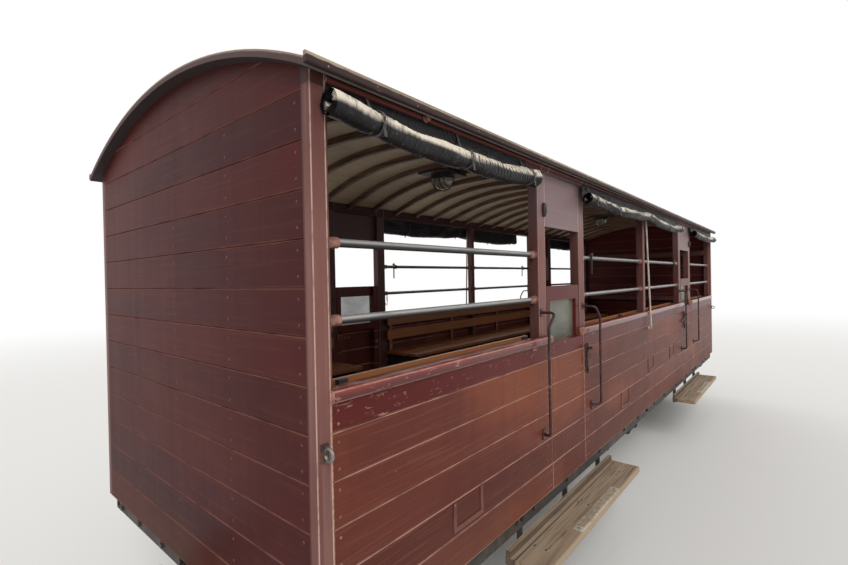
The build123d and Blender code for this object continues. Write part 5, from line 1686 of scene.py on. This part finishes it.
class BodyFixings(Dresser):
    """Screws, bolts, treads and small hooks on the coach body."""

    screw: float = 0.0055
    post_xs: tuple[float, ...] = (3.742, 2.215, 2.181, 1.601, 1.567, 0.016)
    board_dzs: tuple[float, float] = (0.034, 0.121)
    top_dzs: tuple[float, float] = (0.025, 0.068)
    end_dzs: tuple[float, float] = (0.036, 0.119)
    end_ys: tuple[float, ...] = (-0.965, -0.5, 0.0, 0.5, 0.965)
    steel_bolt: float = 0.026
    solebar_xs: tuple[float, ...] = (0.0, 0.29, 0.70, 1.29, 1.89, 2.49, 2.35, 2.55, 3.10, 3.33, 3.70)
    solebar_z: float = 0.642
    headstock_in: float = 0.028
    headstock_ys: tuple[float, ...] = (-0.90, -0.62, -0.30, 0.30, 0.62, 0.90)
    headstock_zs: tuple[float, float] = (0.622, 0.655)
    step_z: float = 0.520
    tread_half: float = 0.325
    tread_ys: tuple[float, float] = (1.180, 1.236)
    grit_half: float = 0.280
    grit_in: float = 0.008
    clips: tuple[tuple[float, float], ...] = ((-3.140, 0.855), (-0.85, 0.855), (-0.025, 1.014), (0.87, 1.014))
    catch_x: float = 1.608
    seat_z: float = 1.248
    seat_y: float = 0.866
    slat_pitch: float = 0.1333
    floor_z: float = 0.818
    floor_rows: int = 13
    bearer_xs: tuple[float, ...] = (-3.33, -2.89, -2.08, -1.39, -0.70, 0.0, 0.70, 1.39, 2.08, 2.89, 3.33)
    lamp_z: float = 2.744
    rib_x: float = -3.787
    rib_pitch: float = 0.30296
    rib_radius: float = 2.435

    def build(self) -> None:
        """Makes every group of fixings."""
        self._board_screws()
        self._end_screws()
        self._solebar_bolts()
        self._treads()
        self._rail_screws()
        self._handle_screws()
        self._clip_screws()
        self._bench_screws()
        self._floor_nails()
        self._strip_nails()
        self._lamp_screws()
        self._roof_screws()
        self._corner_rings()

    def _board_screws(self) -> None:
        """Pairs of screws that hold each side board to the posts."""
        screws = Mesher()
        for side, end in CORNERS:
            for x in self.post_xs:
                for row in range(6):
                    for dz in self.top_dzs if row == 5 else self.board_dzs:
                        at = quarter(side, end, x, COACH.half_width, COACH.row_z(row) + dz)
                        screws.dome(at, side.out, self.screw, 0.4)
        screws.finish("board_screws", self.palette.paint_screw, "body", Slot.TIMBER)

    def _end_screws(self) -> None:
        """Screws of the end boards."""
        screws = Mesher()
        for end in End:
            for row in range(12):
                for y in self.end_ys:
                    for dz in self.end_dzs:
                        at = Vector((end.value * COACH.half_length, y, COACH.row_z(row) + dz))
                        screws.dome(at, end.out, self.screw, 0.4)
        screws.finish("end_screws", self.palette.end_screw, "body", Slot.TIMBER)

    def _solebar_bolts(self) -> None:
        """Hexagon bolts along the solebars, at bearers, steps and headstocks."""
        bolts = Mesher()
        for side, end in CORNERS:
            for x in self.solebar_xs:
                at = quarter(side, end, x, COACH.frame_y, self.solebar_z)
                bolts.hex_bolt(at, side.out, self.steel_bolt)
        for end in End:
            for y in self.headstock_ys:
                for z in self.headstock_zs:
                    at = Vector((end.value * (COACH.half_length - self.headstock_in), y, z))
                    bolts.hex_bolt(at, end.out, self.steel_bolt)
        bolts.finish("solebar_bolts", self.palette.black_bolt, "body", Slot.BLACK)

    def _treads(self) -> None:
        """Pale tread strips with countersunk screws on the steps, and the bolts over the brackets."""
        strips, grit, bolts = Mesher(), Mesher(), Mesher()
        hole = ((0.0075, 0.0), (0.0068, 0.0008), (0.0030, 0.0002))
        for side, end in CORNERS:
            middle = Vector((end.value * COACH.door_x, 0, self.step_z))
            near, far = sorted(side.value * y for y in self.tread_ys)
            strips.slab(middle + Vector((-self.tread_half, near, -0.0005)),
                        middle + Vector((self.tread_half, far, 0.0035)), 0.0015)
            grit.slab(middle + Vector((-self.grit_half, near + self.grit_in, 0.0028)),
                      middle + Vector((self.grit_half, far - self.grit_in, 0.0041)), 0.0004, 1)
            for dx in (-0.30, 0.30):
                bolts.turned(middle + Vector((dx, side.value * 1.207, 0.0036)), UP, hole, 12)
            for dx in (-0.6, 0.0, 0.6):
                for y in (1.09, 1.155):
                    bolts.dome(middle + Vector((dx, side.value * y, 0)), UP, 0.011, 0.35, 12)
        strips.finish("tread_strips", self.palette.tread, "body", Slot.STEP)
        grit.finish("tread_grit", self.palette.grit, "body", Slot.STEP)
        bolts.finish("step_bolts", self.palette.bolt, "body", Slot.STEP)

    def _rail_screws(self) -> None:
        """Screws in the collars of the guard rails, and the nut of each centre rod."""
        screws = Mesher()
        for side in Side:
            for end in End:
                for x, way in COACH.bays:
                    for z in COACH.rail_zs:
                        for dz in (-0.0195, 0.0195):
                            at = quarter(side, end, x + way * 0.008, COACH.rail_y, z + dz)
                            screws.dome(at, end.out * way, 0.0035, 0.6, 8)
            screws.stud(side.out * (COACH.half_width + 0.028) + UP * 1.432, side.out, 0.021, 0.016)
        screws.finish("rail_screws", self.palette.bolt, "body", Slot.PIPE)

    def _handle_screws(self) -> None:
        """Two screws in each mount of the grab handles."""
        screws = Mesher()
        mounts = ((COACH.door_half + 0.06624, COACH.frame_y + 0.005, 1.732, 0.015),
                  (0.379, COACH.half_width + 0.006, 1.040, 0.02))
        for side, end in CORNERS:
            for hand in (-1, 1):
                for away, y, z, apart in mounts:
                    for dz in (-apart, apart):
                        at = Vector((end.value * COACH.door_x + hand * away, side.value * y, z + dz))
                        screws.dome(at, side.out, 0.0048, 0.5)
        screws.finish("handle_screws", self.palette.bolt, "body", Slot.ROD)

    def _clip_screws(self) -> None:
        """Screws in the label clips and the door catches."""
        screws = Mesher()
        for x, z in self.clips:
            for dx, dz in ((0.010, 0.118), (0.218, 0.118), (0.010, 0.010), (0.218, 0.010), (0.114, 0.010)):
                for side in Side:
                    at = Vector((-side.value * (x + dx), side.value * (COACH.half_width + 0.005), z + dz))
                    screws.dome(at, side.out, 0.0045, 0.5)
        for side, end in CORNERS:
            for z in (1.2955, 1.466):
                for dx in (-0.009, 0.009):
                    at = quarter(side, end, self.catch_x, COACH.half_width + 0.006, z) + ALONG * dx
                    screws.dome(at, side.out, 0.0032, 0.5, 8)
        screws.finish("clip_screws", self.palette.paint_screw, "body", Slot.ROD)

    def _bench_screws(self) -> None:
        """Screws that hold the slats to the standards."""
        screws = Mesher()
        spans = ((-3.702, -2.220, 2), (-1.560, 1.560, 4), (2.220, 3.702, 2))
        for side in Side:
            for x0, x1, legs in spans:
                for leg in range(legs):
                    x = x0 + 0.06 + leg * (x1 - x0 - 0.12) / (legs - 1)
                    for slat in range(3):
                        y = side.value * (self.seat_y - slat * self.slat_pitch)
                        screws.dome(Vector((x, y, self.seat_z)), UP, 0.006, 0.25)
                    for dz in (0.1575, 0.2975):
                        screws.dome(Vector((x, side.value * 0.906, self.seat_z + dz)), -side.out, 0.006, 0.25)
        screws.finish("bench_screws", self.palette.bolt, "body", Slot.BENCH)

    def _floor_nails(self) -> None:
        """Nails in the floor boards over each bearer."""
        nails = Mesher()
        pitch = 2 * COACH.post_inner_y / self.floor_rows
        for row in range(self.floor_rows):
            y = -COACH.post_inner_y + (row + 0.5) * pitch
            for x in self.bearer_xs:
                for dy in (-0.04, 0.04):
                    nails.dome(Vector((x, y + dy, self.floor_z)), UP, 0.005, 0.2, 6)
        nails.finish("floor_nails", self.palette.bolt, "body", Slot.FLOOR)

    def _strip_nails(self) -> None:
        """Nails along the strips at the eaves."""
        nails = Mesher()
        for side in Side:
            for index in range(38):
                wobble = 0.004 * math.sin(index * 2.3)
                at = Vector((-3.80 + index * 0.2054, side.value * 1.1005, 2.5875 + wobble))
                nails.dome(at, side.out, 0.004, 0.18, 8)
        nails.finish("strip_nails", self.palette.bolt, "body", Slot.STRIP)

    def _lamp_screws(self) -> None:
        """Screws round the rims of the lamps and in their plates."""
        screws = Mesher()
        for end in End:
            centre = Vector((end.value * COACH.lamp_x, 0, self.lamp_z))
            for index in range(6):
                angle = math.radians(30 + index * 60)
                way = Vector((math.cos(angle), math.sin(angle), 0))
                screws.dome(centre + way * 0.095, way, 0.005, 0.5, 8)
            for dy in (-0.09, 0.09):
                for dx in (-0.14, 0.14):
                    screws.dome(centre + Vector((dx, dy, 0.016)), DOWN, 0.006, 0.4)
        screws.finish("lamp_screws", self.palette.bolt, "body", Slot.LAMP)

    def _roof_screws(self) -> None:
        """Screws that hold the ceiling ribs at both ends."""
        screws = Mesher()
        for index in range(26):
            x = self.rib_x + index * self.rib_pitch
            for side in Side:
                for y in (0.90, 0.86):
                    z = COACH.roof_centre_z + math.sqrt(self.rib_radius ** 2 - y ** 2)
                    inwards = Vector((0, -side.value * y / self.rib_radius, -0.93))
                    screws.dome(Vector((x, side.value * y, z)), inwards, 0.004, 0.5, 8)
        screws.finish("rib_screws", self.palette.bolt, "body", Slot.TIMBER)

    def _corner_rings(self) -> None:
        """The heavy forged rim round each corner eye."""
        rims = Mesher()
        for side, end in CORNERS:
            middle = quarter(side, end, 3.800, 1.063, 1.402)
            rims.tube(oval(middle, ACROSS * 0.0195, UP * 0.0195, 24), 0.0055, 8, True)
        rims.finish("corner_eye_rims", self.palette.bolt, "body", Slot.ROD)


class RailTrim(Dresser):
    """Sleeves, ball-headed stays and hooks on the guard rails, cleats on the posts and fascia knobs."""

    sleeve: float = 0.055
    sleeve_radius: float = 0.0195
    stay_x: float = 1.36
    stay_z: float = 1.953
    hook_x: float = 1.485
    hook_radius: float = 0.0175
    link_pitch: float = 0.025
    cleat_x: float = 2.172
    cleat_z: float = 2.335
    knob_x: float = 3.281
    knob_z: float = 2.578

    def build(self) -> None:
        """Makes the trim of both sides."""
        self._sleeves()
        iron, knobs = Mesher(), Mesher()
        profile = ((0.017, -0.001), (0.017, 0.003), (0.010, 0.006), (0.009, 0.010), (0.014, 0.016),
                   (0.008, 0.022))
        for side in Side:
            for end in End:
                self._stay(iron, side, end)
                self._hook(iron, side, end)
                self._cleat(iron, side, end)
            at = quarter(side, End.FRONT, self.knob_x, COACH.half_width + 0.006, self.knob_z)
            knobs.turned(at, side.out, profile, 16)
        iron.finish("rail_hooks", self.palette.hook, "body", Slot.ROD)
        knobs.finish("fascia_knobs", self.palette.paint_screw, "body", Slot.ROD)

    def _sleeves(self) -> None:
        """Makes the rusty sleeves at the ends of the rails."""
        sleeves = Mesher()
        wide, length = self.sleeve_radius, self.sleeve
        profile = ((wide, 0.0), (wide, length), (wide - 0.0015, length + 0.002), (0.0149, length + 0.002))
        for side, end in CORNERS:
            for x, way in COACH.bays:
                for z in COACH.rail_zs:
                    sleeves.turned(quarter(side, end, x, COACH.rail_y, z), end.out * way, profile, 20)
        sleeves.finish("rail_sleeves", self.palette.sleeve, "body", Slot.PIPE)

    def _stay(self, iron: Mesher, side: Side, end: End) -> None:
        """Adds a ball-headed stay clipped to the upper rail.

        Args:
            iron: The mesh to add to.
            side: Its side of the coach.
            end: Its end of the coach.
        """
        rail = quarter(side, end, self.stay_x, COACH.rail_y, COACH.rail_zs[1]) - ALONG * 0.013
        iron.turned(rail, ALONG, ((0.0152, 0.0), (0.0205, 0.001), (0.0205, 0.025), (0.0152, 0.026)), 20)
        foot = quarter(side, end, self.stay_x, COACH.rail_y + 0.020, self.stay_z)
        profile = ((0.0035, 0.0), (0.0062, 0.004), (0.0062, 0.116), (0.0075, 0.118), (0.0075, 0.124),
                   (0.0050, 0.127), (0.0098, 0.131), (0.0125, 0.138), (0.0125, 0.143), (0.0095, 0.150),
                   (0.0040, 0.1545))
        iron.turned(foot, UP, profile, 14)

    def _hook(self, iron: Mesher, side: Side, end: End) -> None:
        """Adds a hook on two links that hang from the lower rail.

        Args:
            iron: The mesh to add to.
            side: Its side of the coach.
            end: Its end of the coach.
        """
        rail = quarter(side, end, self.hook_x, COACH.rail_y, COACH.rail_zs[0])
        radius = self.hook_radius
        iron.tube(oval(rail, ACROSS * radius, UP * radius, 16), 0.0028, 8, True)
        low = rail + DOWN * radius
        for link, wide in enumerate((ALONG, ACROSS)):
            middle = low + DOWN * (0.015 + link * self.link_pitch)
            iron.tube(oval(middle, wide * 0.007, UP * 0.016, 12), 0.0022, 8, True)
        eye = low + DOWN * 0.054
        iron.tube(oval(eye, ACROSS * 0.006, UP * 0.006, 10), 0.0022, 8, True)
        foot = eye + DOWN * 0.036
        bend = oval(foot + end.out * 0.010, end.out * -0.010, DOWN * 0.011, 12)[1:7]
        tip = bend[-1] + end.out * 0.002 + UP * 0.010
        iron.tube([eye + DOWN * 0.006, foot, *bend, tip], 0.0028, 8)

    def _cleat(self, iron: Mesher, side: Side, end: End) -> None:
        """Adds the oval cleat on the outer post of a doorway.

        Args:
            iron: The mesh to add to.
            side: Its side of the coach.
            end: Its end of the coach.
        """
        foot = quarter(side, end, self.cleat_x, COACH.frame_y, self.cleat_z)
        rows = ((1.0, -0.001), (1.0, 0.012), (0.92, 0.018), (0.66, 0.023), (0.25, 0.0255))
        iron.skin([oval(foot + side.out * height, ALONG * 0.015 * share, UP * 0.042 * share, 20)
                   for share, height in rows])


class DoorFixings(Dresser):
    """Screws, pull knobs and the low panes of the four doors."""

    stile: float = 0.046
    hinge_gap: float = 0.006
    free_gap: float = 0.015
    screw: float = 0.0055
    pane_y: float = 0.985
    pane_thick: float = 0.005
    pane_low: float = 1.538
    pane_high: float = 1.796
    strap_zs: tuple[float, float] = (0.919, 1.429)
    strap_y: float = 0.947
    catch_z: float = 1.3805
    knob_z: float = 1.36

    def build(self) -> None:
        """Makes the fixings of each door."""
        for side, end in CORNERS:
            self._door(side, end)

    def _door(self, side: Side, end: End) -> None:
        """Makes the fixings of one door.

        Args:
            side: Its side of the coach.
            end: Its end of the coach.
        """
        name = f"door_{end.word}_{side.word}"
        hinge = COACH.opening_out - self.hinge_gap
        free = COACH.opening_in + self.free_gap
        screws, iron, pane = Mesher(), Mesher(), Mesher()
        for row in range(1, 6):
            for x in (hinge - 0.025, free + 0.04):
                for dz in (0.034, 0.121 if row < 5 else 0.062):
                    at = quarter(side, end, x, COACH.half_width, COACH.row_z(row) + dz)
                    screws.dome(at, side.out, self.screw, 0.4)
        for dz in (-0.016, 0.016):
            at = quarter(side, end, free + 0.014, COACH.half_width + 0.004, self.catch_z + dz)
            iron.dome(at, side.out, 0.0035, 0.5, 8)
        for z in self.strap_zs:
            for step in range(3):
                at = quarter(side, end, COACH.opening_out - 0.045 - step * 0.042, self.strap_y, z)
                iron.dome(at, -side.out, self.screw, 0.45)
        profile = ((0.010, -0.001), (0.0075, 0.008), (0.0075, 0.014), (0.014, 0.020), (0.0155, 0.026),
                   (0.013, 0.031), (0.006, 0.0335))
        iron.turned(quarter(side, end, free + 0.045, COACH.post_inner_y, self.knob_z), -side.out, profile, 16)
        screws.finish(name + "_screws", self.palette.paint_screw, name, Slot.TIMBER)
        iron.finish(name + "_iron", self.palette.bolt, name, Slot.ROD)
        xs = sorted((end.value * (hinge - self.stile), end.value * (free + self.stile)))
        ys = sorted((side.value * self.pane_y, side.value * (self.pane_y + self.pane_thick)))
        pane.slab(Vector((xs[0], ys[0], self.pane_low)), Vector((xs[1], ys[1], self.pane_high)), 0.0006, 1)
        pane.finish(name + "_pane", self.palette.pane, name, Slot.LAMP)


# Running gear


class BogieFixings(Dresser):
    """Nuts, rivets, oil lids and pins of the two bogies."""

    box_bolts: tuple[float, float] = (0.058, 0.018)
    box_zs: tuple[float, float] = (0.449, 0.233)
    column_x: float = 0.150
    column_zs: tuple[float, float] = (0.550, 0.222)
    lid_y: float = 0.658

    def build(self) -> None:
        """Makes the fixings of each bogie."""
        for end in End:
            self._bogie(end)

    def _bogie(self, end: End) -> None:
        """Makes the fixings of one bogie.

        Args:
            end: Its end of the coach.
        """
        nuts, lids = Mesher(), Mesher()
        middle = end.value * COACH.bogie_x
        along, across = self.box_bolts
        for side in Side:
            y = side.value * COACH.side_frame_y
            for hand in (-1, 1):
                axle = middle + hand * COACH.half_wheelbase
                for x in (axle - along, axle + along):
                    for dy in (-across, across):
                        nuts.stud(Vector((x, y + dy, self.box_zs[0])), UP, 0.026, 0.026)
                        nuts.hex_bolt(Vector((x, y + dy, self.box_zs[1])), DOWN, 0.024)
                column = middle + hand * self.column_x
                nuts.stud(Vector((column, y, self.column_zs[0])), UP, 0.036, 0.034)
                nuts.hex_bolt(Vector((column, y, self.column_zs[1])), DOWN, 0.034)
                for z in (0.300, 0.400, 0.500):
                    nuts.dome(Vector((column, side.value * 0.592, z)), side.out, 0.009, 0.6, 12)
                self._lid(lids, axle, side)
            for dx in (-0.09, -0.045, 0.0, 0.045, 0.09):
                nuts.dome(Vector((middle + dx, side.value * 0.60, 0.275)), side.out, 0.0055, 0.6, 8)
        nuts.finish(f"bogie_nuts_{end.word}", self.palette.black_bolt, f"bogie_{end.word}", Slot.BLACK)
        lids.finish(f"axlebox_lids_{end.word}", self.palette.black_bolt, f"bogie_{end.word}", Slot.BLACK)

    def _lid(self, lids: Mesher, axle: float, side: Side) -> None:
        """Adds the raised boss, hinge and bolts of one oil lid.

        Args:
            lids: The mesh to add to.
            axle: Where the axle is along the coach.
            side: Its side of the coach.
        """
        centre = Vector((axle, side.value * self.lid_y, COACH.axle_z))
        boss = ((0.046, -0.001), (0.046, 0.003), (0.040, 0.006), (0.020, 0.008), (0.012, 0.0135))
        lids.turned(centre, side.out, boss, 24)
        for index in range(4):
            angle = math.radians(45 + index * 90)
            way = Vector((math.cos(angle), 0, math.sin(angle)))
            lids.hex_bolt(centre + way * 0.052, side.out, 0.011)
        top = centre + Vector((0, -side.value * 0.008, 0.066))
        lids.tube([top - ALONG * 0.024, top + ALONG * 0.024], 0.0055, 10)


class UnderFixings(Dresser):
    """Rod nuts and cylinder bolts under the body, and lift rings on the couplers."""

    rod_y: float = 0.862
    cylinder_y: float = 0.470
    cylinder_z: float = 0.543
    ring_x: float = 4.058
    ring_y: float = 0.098
    ring_z: float = 0.721

    def build(self) -> None:
        """Makes each group."""
        nuts = Mesher()
        for side, end in CORNERS:
            nuts.hex_bolt(quarter(side, end, 0.11, self.rod_y, 0.443), end.out, 0.052)
            for x in (0.688, 0.712):
                nuts.dome(quarter(side, end, x, self.rod_y + 0.020, 0.60), side.out, 0.007, 0.5)
            for z in (0.683, 0.650):
                nuts.hex_bolt(quarter(side, end, 2.08, self.rod_y + 0.024, z), side.out, 0.018)
        for end in End:
            for index in range(8):
                angle = math.radians(22.5 + index * 45)
                y = self.cylinder_y + 0.095 * math.cos(angle)
                z = self.cylinder_z + 0.095 * math.sin(angle)
                nuts.hex_bolt(Vector((end.value * 0.26, y, z)), end.out, 0.018)
        nuts.finish("under_nuts", self.palette.black_bolt, "body", Slot.BLACK)
        for end in End:
            lift = Mesher()
            middle = Vector((end.value * self.ring_x, end.value * self.ring_y, self.ring_z))
            lift.tube(oval(middle, ALONG * 0.018, UP * 0.018, 16), 0.0035, 8, True)
            lift.finish(f"lift_ring_{end.word}", self.palette.black_bolt, f"coupler_{end.word}", Slot.CAST)


# Studio


class Studio:
    """Pale floor, soft lights and the camera of the photograph."""

    lens: float = 19.135
    eye: Vector = Vector((-4.664, -2.192, 1.941))
    yaw: float = 0.7022
    pitch: float = -0.0078
    roll: float = 0.0194
    world_light: float = 0.62
    floor_size: float = 60.0

    def build(self) -> None:
        """Makes floor, world, lights and camera."""
        self._floor()
        self._world()
        self._lights()
        self._camera()
        view = bpy.context.scene.view_settings
        view.view_transform = "Standard"

    def _backdrop_rays(self, g: Graph) -> Wire:
        """Picks the rays that see the backdrop straight, in gloss or through glass.

        Args:
            g: The graph to add to.

        Returns:
            1 for those rays, 0 for the others.
        """
        path = g.node("ShaderNodeLightPath", {}, {}, "Is Camera Ray")
        outputs = path.socket.node.outputs
        return path.most(Wire(g, outputs["Is Glossy Ray"])).most(Wire(g, outputs["Is Transmission Ray"]))

    def _floor(self) -> None:
        """Makes the floor, which keeps the shadows and fades to white far off."""
        g = Graph("studio_floor")
        base = g.node("ShaderNodeBsdfDiffuse", {}, {"Color": srgb(232, 231, 228)})
        glow = g.node("ShaderNodeEmission", {}, {"Color": (1.0, 1.0, 1.0), "Strength": 1.0})
        far = g.distance((0.0, 0.0, 0.0)).rise(7.0, 24.0) * self._backdrop_rays(g)
        material = g.end(g.node("ShaderNodeMixShader", {}, {0: far, 1: base, 2: glow}))
        data = bpy.data.meshes.new("studio_floor")
        half = self.floor_size / 2
        corners = [(-half, -half, 0), (half, -half, 0), (half, half, 0), (-half, half, 0)]
        data.from_pydata(corners, [], [(0, 1, 2, 3)])
        data.materials.append(material)
        floor = bpy.data.objects.new("studio_floor", data)
        bpy.context.scene.collection.objects.link(floor)

    def _world(self) -> None:
        """Makes the world: soft light for the object, white for the camera and for gloss."""
        g = Graph("studio", True)
        white = (1.0, 1.0, 1.0)
        dim = g.node("ShaderNodeBackground", {}, {"Color": white, "Strength": self.world_light})
        bright = g.node("ShaderNodeBackground", {}, {"Color": white, "Strength": 1.0})
        seen = self._backdrop_rays(g)
        bpy.context.scene.world = g.end(g.node("ShaderNodeMixShader", {}, {0: seen, 1: dim, 2: bright}))

    def _lights(self) -> None:
        """Makes a wide key from the camera's side, and a weaker fill from the other."""
        rows = (("key", (-0.55, -0.62, 0.62), 1.55, 38.0), ("fill", (0.6, 0.7, 0.5), 0.65, 70.0))
        for name, towards, strength, wide in rows:
            data = bpy.data.lights.new(name, "SUN")
            data.energy = strength
            data.angle = math.radians(wide)
            lamp = bpy.data.objects.new(name, data)
            lamp.rotation_euler = Vector(towards).to_track_quat("Z", "Y").to_euler()
            bpy.context.scene.collection.objects.link(lamp)

    def _camera(self) -> None:
        """Makes the camera at the photograph's place."""
        flat = math.cos(self.pitch)
        forward = Vector((math.cos(self.yaw) * flat, math.sin(self.yaw) * flat, math.sin(self.pitch)))
        level = Vector((math.sin(self.yaw), -math.cos(self.yaw), 0))
        down = forward.cross(level)
        right = level * math.cos(self.roll) + down * math.sin(self.roll)
        up = level * math.sin(self.roll) - down * math.cos(self.roll)
        turn = Matrix((right, up, -forward)).transposed()
        data = bpy.data.cameras.new("photo_view")
        data.lens = self.lens
        data.sensor_width = 36.0
        data.clip_end = 200.0
        camera = bpy.data.objects.new("photo_view", data)
        camera.matrix_world = Matrix.Translation(self.eye) @ turn.to_4x4()
        bpy.context.scene.collection.objects.link(camera)
        bpy.context.scene.camera = camera


def main() -> None:
    """Builds the coach's looks in order and finishes the scene."""
    logging.basicConfig(level=logging.INFO, format="%(name)s: %(message)s")
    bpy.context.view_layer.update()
    Studio().build()
    palette = Palette()
    for part in (FrameDress, Blinds, BodyFixings, RailTrim, DoorFixings, BogieFixings, UnderFixings):
        part(palette).build()


if __name__ == "__main__":
    main()
